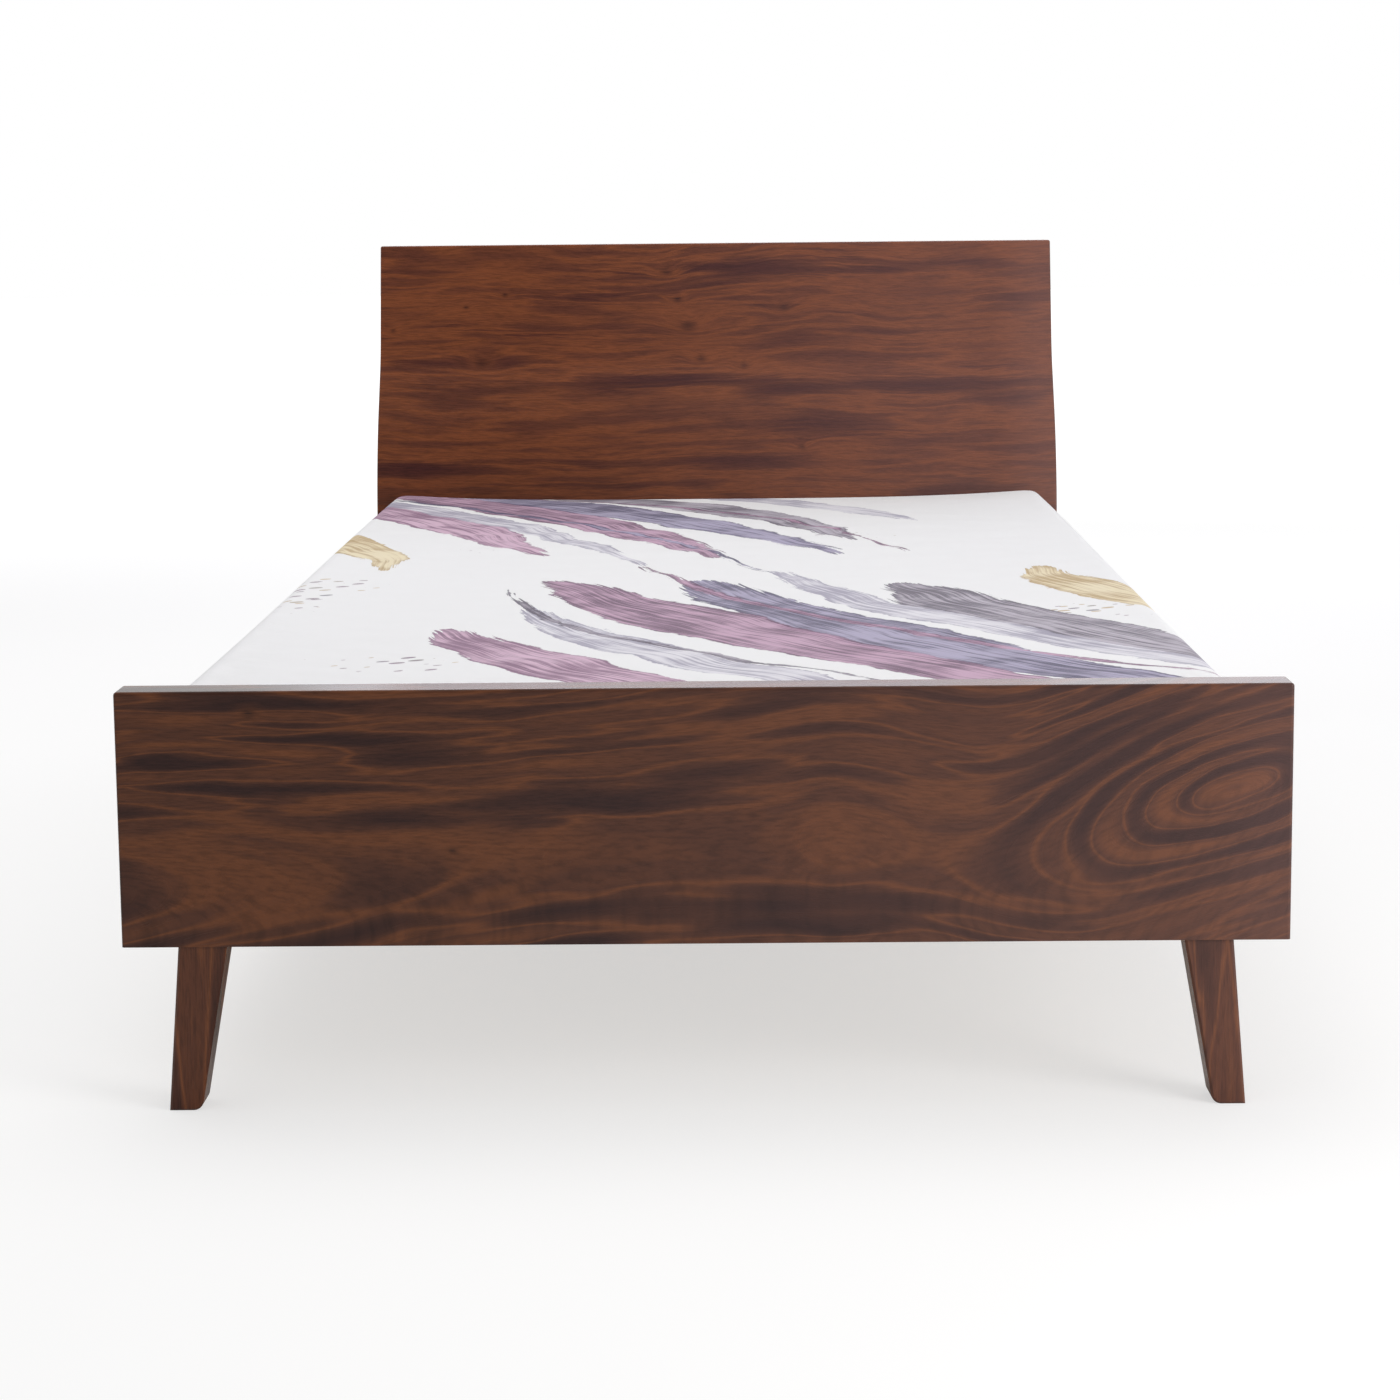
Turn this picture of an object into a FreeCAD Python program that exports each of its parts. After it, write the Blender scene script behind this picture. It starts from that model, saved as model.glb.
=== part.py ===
import FreeCAD, Part

import math
import os

import Sketcher

# A single bed of dark stained solid timber. A plain footboard and an S-curved headboard stand on
# splayed, tapered legs. Two side rails hang between them on hook plates and carry a slatted base,
# and a foam mattress in a fitted sheet lies in the tray that they make.
# X runs across the bed, +Y from foot to head, +Z up. The floor is at zero and the origin is in the
# middle of the whole bed. Lengths are in millimetres and angles in degrees.

# Driving dimensions, each of them written once
SIZES = {
    # the two end panels
    "panel_width": 1000.0,
    "panel_thickness": 43.0,
    "panel_easing": 3.0,
    "clear_length": 2008.0,
    "footboard_height": 221.0,
    "headboard_height": 577.0,
    # the headboard's S-curve, from its straight foot upwards
    "curve_start": 158.0,
    "sweep_radius": 350.0,
    "sweep_angle": 31.0,
    "slant_run": 60.0,
    "return_radius": 165.0,
    "top_angle": 13.0,
    # legs, with what holds them to the panels
    "leg_height": 145.0,
    "leg_top_width": 42.0,
    "leg_foot_width": 28.0,
    "leg_depth": 38.0,
    "leg_inset": 48.0,
    "leg_splay": 12.0,
    "leg_easing": 2.0,
    "leg_heel_radius": 9.0,
    "bolt_diameter": 8.0,
    "bolt_length": 70.0,
    "bolt_point": 5.0,
    "insert_diameter": 12.0,
    "insert_length": 18.0,
    "dowel_diameter": 8.0,
    "dowel_length": 36.0,
    "dowel_chamfer": 1.0,
    "fixing_spacing": 18.0,
    "fixing_shift": 5.0,
    # side rails and the ledgers along them
    "rail_thickness": 22.0,
    "rail_height": 150.0,
    "rail_easing": 2.0,
    "rail_inset": 10.0,
    "rail_rise": 8.0,
    "ledger_width": 25.0,
    "ledger_height": 30.0,
    "ledger_rise": 5.0,
    "ledger_setback": 12.0,
    "ledger_end_margin": 120.0,
    # hook plates in the rails' ends and slotted plates in the panels
    "plate_width": 16.0,
    "plate_height": 120.0,
    "plate_thickness": 3.0,
    "plate_screw_margin": 8.0,
    "hook_spacing": 48.0,
    "hook_thickness": 3.0,
    "hook_neck": 12.0,
    "hook_lip": 8.0,
    "hook_reach": 10.0,
    "hook_lead": 3.0,
    "hook_gap": 0.3,
    "slot_width": 5.0,
    "groove_width": 8.0,
    # slats, and the tapes that join them
    "slat_width": 80.0,
    "slat_thickness": 18.0,
    "slat_easing": 2.0,
    "slat_end_gap": 3.0,
    "slat_screw_inset": 14.0,
    "tape_width": 25.0,
    "tape_thickness": 1.2,
    "tape_inset": 170.0,
    # countersunk wood screws
    "screw_diameter": 4.0,
    "screw_head_diameter": 8.0,
    "long_screw_length": 38.0,
    "short_screw_length": 28.0,
    # mattress and fitted sheet
    "mattress_side_gap": 9.0,
    "mattress_end_gap": 7.0,
    "mattress_thickness": 137.0,
    "mattress_crown": 8.0,
    "mattress_bulge": 3.0,
    "mattress_top_radius": 26.0,
    "mattress_bottom_radius": 16.0,
    "mattress_corner_radius": 60.0,
    "sheet_thickness": 1.2,
    "sheet_hem": 70.0,
    # play between parts
    "hole_play": 0.1,
    "cloth_play": 0.3,
    "cut_overrun": 1.0,
}

SLAT_COUNT = 14
LEDGER_SCREW_COUNT = 5
# Small round fixings and their holes have this many flat sides
ROUND_SIDES = 10
# Between these shares of a leg's height lie the middles of its long corners, and of no other edge
TOP_EDGE_SHARE = 0.1
FLOOR_EDGE_SHARE = 0.9
# Width of a screw's or bolt's point against its shank
POINT_SHARE = 0.25

# Places worked out from the driving dimensions, in the order in which they need each other
PLACES = {
    "top_rise": "Sizes.headboard_height - Sizes.curve_start"
    " - Sizes.sweep_radius * sin(Sizes.sweep_angle) - Sizes.slant_run * cos(Sizes.sweep_angle)"
    " - Sizes.return_radius * (sin(Sizes.sweep_angle) - sin(Sizes.top_angle))",
    "headboard_lean": "Sizes.sweep_radius * (1 - cos(Sizes.sweep_angle))"
    " + Sizes.slant_run * sin(Sizes.sweep_angle)"
    " + Sizes.return_radius * (cos(Sizes.top_angle) - cos(Sizes.sweep_angle))"
    " + top_rise * tan(Sizes.top_angle)",
    "headboard_top_depth": "Sizes.panel_thickness / cos(Sizes.top_angle)",
    "top_edge_loss": "Sizes.panel_easing * (tan(Sizes.top_angle) + 1 / cos(Sizes.top_angle) - 1)",
    "overall_length": "Sizes.panel_thickness + Sizes.clear_length + headboard_lean"
    " + headboard_top_depth - top_edge_loss",
    "foot_face_y": "Sizes.panel_thickness - overall_length / 2",
    "head_face_y": "foot_face_y + Sizes.clear_length",
    "tray_centre_y": "foot_face_y + Sizes.clear_length / 2",
    "foot_leg_y": "foot_face_y - Sizes.panel_thickness / 2",
    "head_leg_y": "head_face_y + Sizes.panel_thickness / 2",
    "leg_centre_x": "Sizes.panel_width / 2 - Sizes.leg_inset - Sizes.leg_top_width / 2",
    "footboard_centre_level": "Sizes.footboard_height / 2",
    "leg_row_y": "Sizes.panel_thickness / 2",
    "leg_top_half": "Sizes.leg_top_width / 2",
    "leg_toe_x": "leg_top_half + Sizes.leg_splay",
    "leg_heel_x": "leg_toe_x - Sizes.leg_foot_width",
    "bolt_on_leg_x": "Sizes.fixing_shift - Sizes.fixing_spacing / 2",
    "dowel_on_leg_x": "Sizes.fixing_shift + Sizes.fixing_spacing / 2",
    "bolt_x": "leg_centre_x + bolt_on_leg_x",
    "dowel_x": "leg_centre_x + dowel_on_leg_x",
    "bolt_leg_depth": "Sizes.bolt_length / 2 + Sizes.hole_play",
    "dowel_hole_depth": "Sizes.dowel_length / 2 + Sizes.hole_play",
    "bolt_hole_diameter": "Sizes.bolt_diameter + 2 * Sizes.hole_play",
    "dowel_hole_diameter": "Sizes.dowel_diameter + 2 * Sizes.hole_play",
    "insert_hole_diameter": "Sizes.insert_diameter + 2 * Sizes.hole_play",
    "insert_hole_depth": "Sizes.insert_length + Sizes.hole_play",
    "rail_centre_x": "Sizes.panel_width / 2 - Sizes.rail_inset - Sizes.rail_thickness / 2",
    "rail_inner_x": "rail_centre_x - Sizes.rail_thickness / 2",
    "rail_bottom_z": "Sizes.leg_height + Sizes.rail_rise",
    "rail_centre_z": "rail_bottom_z + Sizes.rail_height / 2",
    "rail_half_length": "Sizes.clear_length / 2",
    "plate_level": "Sizes.rail_height / 2",
    "plate_level_on_panel": "Sizes.rail_rise + plate_level",
    "plate_screw_spacing": "Sizes.plate_height - 2 * Sizes.plate_screw_margin",
    "half_plate_screw_spacing": "plate_screw_spacing / 2",
    "half_hook_spacing": "Sizes.hook_spacing / 2",
    "hook_grip_y": "Sizes.plate_thickness + Sizes.hook_gap",
    "hook_lead_y": "Sizes.hook_reach - Sizes.hook_lead",
    "hook_lead_z": "Sizes.hook_neck - Sizes.hook_lead",
    "hook_anchor_y": "Sizes.plate_thickness / 2",
    "slot_height": "Sizes.hook_neck + Sizes.hook_lip + Sizes.hook_gap",
    "slot_centre_z": "slot_height / 2",
    "upper_slot_z": "half_hook_spacing + slot_centre_z",
    "lower_slot_z": "slot_centre_z - half_hook_spacing",
    "groove_height": "Sizes.hook_spacing + slot_height + Sizes.hook_lip + Sizes.hook_gap",
    "groove_centre_z": "(slot_height - Sizes.hook_lip - Sizes.hook_gap) / 2",
    "groove_level_on_panel": "plate_level_on_panel + groove_centre_z",
    "groove_depth": "Sizes.hook_reach + Sizes.hook_gap",
    "screw_hole_diameter": "Sizes.screw_diameter + 2 * Sizes.hole_play",
    "screw_head_height": "(Sizes.screw_head_diameter - Sizes.screw_diameter) / 2",
    "plate_pilot_depth": "Sizes.short_screw_length + Sizes.hole_play",
    "ledger_centre_x": "rail_inner_x - Sizes.ledger_width / 2",
    "ledger_half_width": "Sizes.ledger_width / 2",
    "ledger_bottom_z": "rail_bottom_z + Sizes.ledger_rise",
    "ledger_top_z": "ledger_bottom_z + Sizes.ledger_height",
    "ledger_length": "Sizes.clear_length - 2 * Sizes.ledger_setback",
    "ledger_screw_level": "Sizes.ledger_height / 2",
    "ledger_screw_level_on_rail": "Sizes.ledger_rise + ledger_screw_level",
    "ledger_pilot_depth": "Sizes.long_screw_length - Sizes.ledger_width + Sizes.hole_play",
    "ledger_screw_span": "ledger_length - 2 * Sizes.ledger_end_margin",
    "ledger_first_screw_y": "-ledger_screw_span / 2",
    "rail_half_thickness": "Sizes.rail_thickness / 2",
    "ledger_face_x": "ledger_centre_x - ledger_half_width",
    "slat_length": "2 * (rail_inner_x - Sizes.slat_end_gap)",
    "slat_half_thickness": "Sizes.slat_thickness / 2",
    "slat_top_z": "ledger_top_z + Sizes.slat_thickness",
    "slat_pitch": "(ledger_length - Sizes.slat_width) / %d" % (SLAT_COUNT - 1),
    "end_slat_y": "slat_pitch * %s" % ((SLAT_COUNT - 1) / 2),
    "slat_screw_x": "slat_length / 2 - Sizes.slat_screw_inset",
    "slat_screw_on_ledger_x": "slat_screw_x - ledger_centre_x",
    "slat_pilot_depth": "Sizes.long_screw_length - Sizes.slat_thickness + Sizes.hole_play",
    "tape_length": "ledger_length",
    "tape_centre_x": "Sizes.panel_width / 2 - Sizes.tape_inset",
    "mattress_width": "2 * (rail_inner_x - Sizes.mattress_side_gap)",
    "mattress_length": "Sizes.clear_length - 2 * Sizes.mattress_end_gap",
    "sheet_bottom_z": "slat_top_z + Sizes.tape_thickness + Sizes.cloth_play",
    "mattress_bottom_z": "sheet_bottom_z + Sizes.sheet_thickness + Sizes.cloth_play",
}

# The row of slats, spread evenly about the middle of the tray
for step in range(SLAT_COUNT):
    offset = step - (SLAT_COUNT - 1) / 2
    PLACES["slat_%02d_y" % (step + 1)] = "tray_centre_y + slat_pitch * %s" % offset

ORIGIN = FreeCAD.Vector(0, 0, 0)
X_AXIS = FreeCAD.Vector(1, 0, 0)
Y_AXIS = FreeCAD.Vector(0, 1, 0)
Z_AXIS = FreeCAD.Vector(0, 0, 1)
HALF_TURN = 180.0

doc = FreeCAD.newDocument("SingleBed")


def make_sheet(name, rows):
    """Write one alias and its number or formula to each row of a new spreadsheet."""
    sheet = doc.addObject("Spreadsheet::Sheet", name)
    for row, (alias, content) in enumerate(rows.items(), start=1):
        sheet.set("A%d" % row, alias)
        sheet.set("B%d" % row, content)
        sheet.setAlias("B%d" % row, alias)
    doc.recompute()
    return sheet


sizes = make_sheet("Sizes", {alias: str(number) for alias, number in SIZES.items()})
places = make_sheet("Places", {alias: "=" + formula for alias, formula in PLACES.items()})


def value(term):
    """Number behind an alias, which may have a minus sign in front. Zero stands for itself."""
    if not term:
        return 0.0
    alias = term.lstrip("-")
    holder = sizes if alias in SIZES else places
    return float(holder.get(alias)) * (-1 if term.startswith("-") else 1)


def formula(term):
    """Expression that binds a property to an alias, which may have a minus sign in front."""
    alias = term.lstrip("-")
    holder = "Sizes" if alias in SIZES else "Places"
    return ("-" if term.startswith("-") else "") + holder + "." + alias


def bind(item, path, term):
    """Tie a property to a cell of the spreadsheets, or leave it at zero."""
    if term:
        item.setExpression(path, formula(term))


# Pieces in the order in which they are made, each under its node name
nodes = {}


def new_body(name):
    """Start a piece that is built from sketches and features."""
    body = doc.addObject("PartDesign::Body", name)
    body.Label = name
    nodes[name] = body
    return body


def place(item, x=0, y=0, z=0, turn=0.0):
    """Stand a piece at a place given by aliases, turned about the upright through its origin."""
    item.Placement = FreeCAD.Placement(ORIGIN, FreeCAD.Rotation(Z_AXIS, turn))
    for axis, term in zip("xyz", (x, y, z)):
        bind(item, "Placement.Base." + axis, term)


def new_sketch(body, name, plane, away=0, shift=(0, 0)):
    """Put a sketch on one of the body's planes, moved along its normal and within its plane."""
    sketch = body.newObject("Sketcher::SketchObject", body.Label + "_" + name)
    role = plane + "_Plane"
    support = next(item for item in body.Origin.OriginFeatures if item.Role == role)
    sketch.AttachmentSupport = [(support, "")]
    sketch.MapMode = "FlatFace"
    for axis, term in zip("zxy", (away,) + tuple(shift)):
        bind(sketch, "AttachmentOffset.Base." + axis, term)
    return sketch


def fix(sketch, kind, arguments, name, term):
    """Add one dimension to a sketch and tie it to a cell."""
    index = sketch.addConstraint(Sketcher.Constraint(kind, *arguments, value(term)))
    sketch.renameConstraint(index, name)
    bind(sketch, "Constraints." + name, term)


def fix_point(sketch, geometry, end, x, y, name):
    """Hold one point of a sketch at two distances from the origin."""
    for kind, axis_line, term in (("DistanceX", -2, x), ("DistanceY", -1, y)):
        if term:
            fix(sketch, kind, (-1, 1, geometry, end), name + kind[-1], term)
        else:
            sketch.addConstraint(Sketcher.Constraint("PointOnObject", geometry, end, axis_line))


def draw_polygon(sketch, corners):
    """Draw a closed outline whose corners are pairs of aliases."""
    points = [FreeCAD.Vector(value(x), value(y), 0) for x, y in corners]
    lines = [
        sketch.addGeometry(Part.LineSegment(start, stop), False)
        for start, stop in zip(points, points[1:] + points[:1])
    ]
    for line, follower in zip(lines, lines[1:] + lines[:1]):
        sketch.addConstraint(Sketcher.Constraint("Coincident", line, 2, follower, 1))
    for line, (x, y) in zip(lines, corners):
        fix_point(sketch, line, 1, x, y, "corner%d" % line)


def draw_rectangle(sketch, width, height):
    """Draw a rectangle centred on the sketch's origin."""
    half = FreeCAD.Vector(value(width) / 2, value(height) / 2, 0)
    points = [
        FreeCAD.Vector(-half.x, -half.y, 0),
        FreeCAD.Vector(half.x, -half.y, 0),
        half,
        FreeCAD.Vector(-half.x, half.y, 0),
    ]
    lines = [
        sketch.addGeometry(Part.LineSegment(start, stop), False)
        for start, stop in zip(points, points[1:] + points[:1])
    ]
    for line, follower in zip(lines, lines[1:] + lines[:1]):
        sketch.addConstraint(Sketcher.Constraint("Coincident", line, 2, follower, 1))
    for line in lines[0::2]:
        sketch.addConstraint(Sketcher.Constraint("Horizontal", line))
    for line in lines[1::2]:
        sketch.addConstraint(Sketcher.Constraint("Vertical", line))
    sketch.addConstraint(Sketcher.Constraint("Symmetric", lines[0], 1, lines[2], 1, -1, 1))
    fix(sketch, "Distance", (lines[0],), "width", width)
    fix(sketch, "Distance", (lines[1],), "height", height)


def round_corners(radius, centre=ORIGIN):
    """Corners of the many-sided outline that stands for a small circle."""
    angles = (2 * math.pi * step / ROUND_SIDES for step in range(ROUND_SIDES))
    return [
        centre + FreeCAD.Vector(math.cos(angle), math.sin(angle), 0) * radius for angle in angles
    ]


def draw_holes(sketch, diameter, centres):
    """Draw equal many-sided holes at pairs of aliases, each inscribed in a guiding circle."""
    for number, (x, y) in enumerate(centres):
        centre = FreeCAD.Vector(value(x), value(y), 0)
        radius = value(diameter) / 2
        circle = sketch.addGeometry(Part.Circle(centre, Z_AXIS, radius), True)
        fix_point(sketch, circle, 3, x, y, "centre%d" % number)
        fix(sketch, "Diameter", (circle,), "diameter%d" % number, diameter)
        corners = round_corners(radius, centre)
        lines = [
            sketch.addGeometry(Part.LineSegment(start, stop), False)
            for start, stop in zip(corners, corners[1:] + corners[:1])
        ]
        for line, follower in zip(lines, lines[1:] + lines[:1]):
            sketch.addConstraint(Sketcher.Constraint("Coincident", line, 2, follower, 1))
            sketch.addConstraint(Sketcher.Constraint("PointOnObject", line, 1, circle))
        for line in lines[1:]:
            sketch.addConstraint(Sketcher.Constraint("Equal", lines[0], line))
        sketch.addConstraint(Sketcher.Constraint("Horizontal", circle, 3, lines[0], 1))


def pad(body, sketch, length, both_ways=False, turned=False):
    """Raise a solid from a sketch."""
    feature = body.newObject("PartDesign::Pad", sketch.Label + "_pad")
    feature.Profile = sketch
    bind(feature, "Length", length)
    feature.SideType = "Symmetric" if both_ways else "One side"
    feature.Reversed = turned
    doc.recompute()
    return feature


def pocket(body, sketch, depth, turned=False):
    """Cut a sketch into the solid, and make sure that it cut something."""
    before = body.Shape.Volume
    feature = body.newObject("PartDesign::Pocket", sketch.Label + "_pocket")
    feature.Profile = sketch
    bind(feature, "Length", depth)
    feature.Reversed = turned
    doc.recompute()
    if body.Shape.Volume >= before:
        raise RuntimeError(sketch.Label + " cuts nothing")
    return feature


def repeat_along(body, cut, span, count):
    """Repeat a cut evenly along the body's Y axis, the last one a span away from the first."""
    pattern = body.newObject("PartDesign::LinearPattern", cut.Label + "_row")
    pattern.Originals = [cut]
    axis = next(item for item in body.Origin.OriginFeatures if item.Role == "Y_Axis")
    pattern.Direction = (axis, [""])
    bind(pattern, "Length", span)
    pattern.Occurrences = count
    body.Tip = pattern
    doc.recompute()
    return pattern


def ease(body, feature, amount, test, kind="Fillet"):
    """Round or chamfer the edges of a feature that pass a test."""
    eased = body.newObject("PartDesign::" + kind, feature.Label + "_ease")
    names = [
        "Edge%d" % number for number, edge in enumerate(feature.Shape.Edges, start=1) if test(edge)
    ]
    eased.Base = (feature, names)
    bind(eased, "Radius" if kind == "Fillet" else "Size", amount)
    doc.recompute()
    return eased


def countersink(body, plane, away, spots, thickness, turned=False, row=None):
    """Cut screw holes right through a piece and bevel their mouths as seats for the heads.

    Where a row is given, as the alias of its span and a count, the holes repeat along the body.
    """
    holes = new_sketch(body, "screw_holes", plane, away)
    draw_holes(holes, "screw_hole_diameter", spots)
    drilled = pocket(body, holes, thickness, turned)
    if row:
        drilled = repeat_along(body, drilled, *row)
    to_sketch = holes.Placement.inverse()
    flat = value("screw_hole_diameter") * math.sin(math.pi / ROUND_SIDES)

    def at_mouth(edge):
        """True for each flat of a hole's outline in the face where the screws go in."""
        away_from_face = abs(to_sketch.multVec(edge.CenterOfMass).z)
        return max(away_from_face, abs(edge.Length - flat)) < Part.Precision.approximation()

    ease(body, drilled, "screw_head_height", at_mouth, kind="Chamfer")


def runs_along(edge, axis):
    """True for a straight edge that is parallel to an axis."""
    if not isinstance(edge.Curve, Part.Line):
        return False
    return abs(abs(edge.Curve.Direction.dot(axis)) - 1) < Part.Precision.angular()


def at_each_side():
    """The two sides of the bed, with the half turn that mirrors a piece to the left one."""
    return (("right", "", 0.0), ("left", "-", HALF_TURN))


# End panels. Each is drawn with its mattress side in the XZ plane and its timber behind it, and
# the footboard is turned round to face the headboard.


def above_bottom(edge):
    """True for every edge of a panel but those of its lower side, which meets the legs."""
    return edge.CenterOfMass.z > value("panel_easing")


def seat_fittings(body):
    """Cut a panel for the slotted plates on its mattress side and for the leg fixings below."""
    for side, sign, _ in at_each_side():
        x = sign + "rail_centre_x"
        seat = new_sketch(body, side + "_seat", "XZ", shift=(x, "plate_level_on_panel"))
        draw_rectangle(seat, "plate_width", "plate_height")
        pocket(body, seat, "plate_thickness")
        groove = new_sketch(body, side + "_groove", "XZ", shift=(x, "groove_level_on_panel"))
        draw_rectangle(groove, "groove_width", "groove_height")
        pocket(body, groove, "groove_depth")
        pilots = new_sketch(body, side + "_pilots", "XZ", shift=(x, "plate_level_on_panel"))
        ends = ((0, "half_plate_screw_spacing"), (0, "-half_plate_screw_spacing"))
        draw_holes(pilots, "screw_hole_diameter", ends)
        pocket(body, pilots, "plate_pilot_depth")
    below = (
        ("inserts", "bolt_x", "insert_hole_diameter", "insert_hole_depth"),
        ("bolts", "bolt_x", "bolt_hole_diameter", "bolt_leg_depth"),
        ("dowels", "dowel_x", "dowel_hole_diameter", "dowel_hole_depth"),
    )
    for name, x, diameter, depth in below:
        holes = new_sketch(body, name, "XY", shift=(0, "leg_row_y"))
        draw_holes(holes, diameter, ((x, 0), ("-" + x, 0)))
        pocket(body, holes, depth, turned=True)


def make_footboard():
    """Plain rectangular panel, its long boards edge-glued into one."""
    body = new_body("footboard_panel")
    outline = new_sketch(body, "outline", "XZ", shift=(0, "footboard_centre_level"))
    draw_rectangle(outline, "panel_width", "footboard_height")
    board = pad(body, outline, "panel_thickness", turned=True)
    ease(body, board, "panel_easing", above_bottom)
    seat_fittings(body)
    place(body, 0, "foot_face_y", "leg_height", HALF_TURN)


def curve_stations(depth):
    """Points and middles of the S-curve at a depth behind the mattress side, as plain vectors.

    The lower arc turns about a centre behind the panel and the upper one about a centre in front
    of it, so the first radius shrinks with depth and the second one grows.
    """
    lean, back = (math.radians(value(name)) for name in ("sweep_angle", "top_angle"))
    start = value("curve_start")
    lower, upper = value("sweep_radius"), value("return_radius")
    lower_centre = FreeCAD.Vector(lower, start, 0)
    along = FreeCAD.Vector(math.sin(lean), math.cos(lean), 0)
    across = FreeCAD.Vector(math.cos(lean), -math.sin(lean), 0)
    upper_centre = lower_centre - across * (lower + upper) + along * value("slant_run")

    def on_lower(angle):
        spoke = FreeCAD.Vector(math.cos(angle), -math.sin(angle), 0)
        return lower_centre - spoke * (lower - depth)

    def on_upper(angle):
        spoke = FreeCAD.Vector(math.cos(angle), -math.sin(angle), 0)
        return upper_centre + spoke * (upper + depth)

    top = on_upper(back)
    height = value("headboard_height")
    top_end = top + FreeCAD.Vector(math.tan(back), 1, 0) * (height - top.y)
    return {
        "foot": FreeCAD.Vector(depth, 0, 0),
        "start": on_lower(0),
        "lower_middle": on_lower(lean / 2),
        "slant_start": on_lower(lean),
        "slant_end": on_upper(lean),
        "upper_middle": on_upper((lean + back) / 2),
        "return_end": top,
        "top": top_end,
    }


def draw_curved_side(sketch, depth):
    """Draw one side of the S-curve as line, arc, line, arc, line, each tangent to the next."""
    at = curve_stations(depth)
    pieces = (
        Part.LineSegment(at["foot"], at["start"]),
        Part.Arc(at["start"], at["lower_middle"], at["slant_start"]),
        Part.LineSegment(at["slant_start"], at["slant_end"]),
        Part.Arc(at["slant_end"], at["upper_middle"], at["return_end"]),
        Part.LineSegment(at["return_end"], at["top"]),
    )
    return [sketch.addGeometry(piece, False) for piece in pieces]


def near_end(sketch, geometry, point):
    """Number of the end of a line or arc that lies at a point: 1 for its start and 2 for its end."""
    start, stop = (sketch.getPoint(geometry, end) for end in (1, 2))
    return 1 if (start - point).Length < (stop - point).Length else 2


def join_tangent(sketch, chain, joints):
    """Make each piece of a chain meet the next one smoothly."""
    for first, second, point in zip(chain, chain[1:], joints):
        ends = near_end(sketch, first, point), near_end(sketch, second, point)
        sketch.addConstraint(Sketcher.Constraint("Tangent", first, ends[0], second, ends[1]))


def make_headboard():
    """S-curved panel: straight foot, backward sweep, slanted run, return bend, leaning top."""
    body = new_body("headboard_panel")
    section = new_sketch(body, "section", "YZ")
    thickness = value("panel_thickness")
    sides = []
    for depth in (0.0, thickness):
        chain = draw_curved_side(section, depth)
        at = curve_stations(depth)
        joints = [at[name] for name in ("start", "slant_start", "slant_end", "return_end")]
        join_tangent(section, chain, joints)
        section.addConstraint(Sketcher.Constraint("Vertical", chain[0]))
        sides.append((chain, at))
    (front, front_at), (rear, rear_at) = sides
    bottom = section.addGeometry(Part.LineSegment(front_at["foot"], rear_at["foot"]), False)
    top = section.addGeometry(Part.LineSegment(front_at["top"], rear_at["top"]), False)
    for end, (chain, _) in zip((1, 2), sides):
        section.addConstraint(Sketcher.Constraint("Coincident", bottom, end, chain[0], 1))
        section.addConstraint(Sketcher.Constraint("Coincident", top, end, chain[-1], 2))
    for line in (bottom, top):
        section.addConstraint(Sketcher.Constraint("Horizontal", line))
    section.addConstraint(Sketcher.Constraint("Coincident", bottom, 1, -1, 1))
    fix(section, "DistanceX", (bottom, 1, bottom, 2), "thickness", "panel_thickness")
    fix(section, "DistanceY", (-1, 1, top, 1), "height", "headboard_height")
    fix(section, "DistanceY", (front[0], 1, front[0], 2), "straight_foot", "curve_start")
    fix(section, "Radius", (front[1],), "sweep", "sweep_radius")
    fix(section, "Distance", (front[2],), "slant", "slant_run")
    fix(section, "Radius", (front[3],), "return_bend", "return_radius")
    for name, line, alias in (("lean", front[2], "sweep_angle"), ("top_lean", front[4], "top_angle")):
        angle = math.radians(value(alias))
        arguments = ("Angle", line, 1, front[0], 1, angle)
        index = section.addConstraint(Sketcher.Constraint(*arguments))
        section.renameConstraint(index, name)
        section.setExpression("Constraints." + name, formula(alias) + " * 1 deg")
    for arc in (1, 3):
        section.addConstraint(Sketcher.Constraint("Coincident", front[arc], 3, rear[arc], 3))
    section.addConstraint(Sketcher.Constraint("Parallel", front[2], rear[2]))
    section.addConstraint(Sketcher.Constraint("Parallel", front[4], rear[4]))
    board = pad(body, section, "panel_width", both_ways=True)
    ease(body, board, "panel_easing", above_bottom)
    seat_fittings(body)
    place(body, 0, "head_face_y", "leg_height")


# Legs. Each is drawn splayed towards +X with its top at zero, and turned round for the left side.


def each_leg():
    """Side, end, sign of X, row along Y and turn of the four legs."""
    for side, sign, turn in at_each_side():
        for end, row in (("front", "foot_leg_y"), ("rear", "head_leg_y")):
            yield side, end, sign, row, turn


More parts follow.
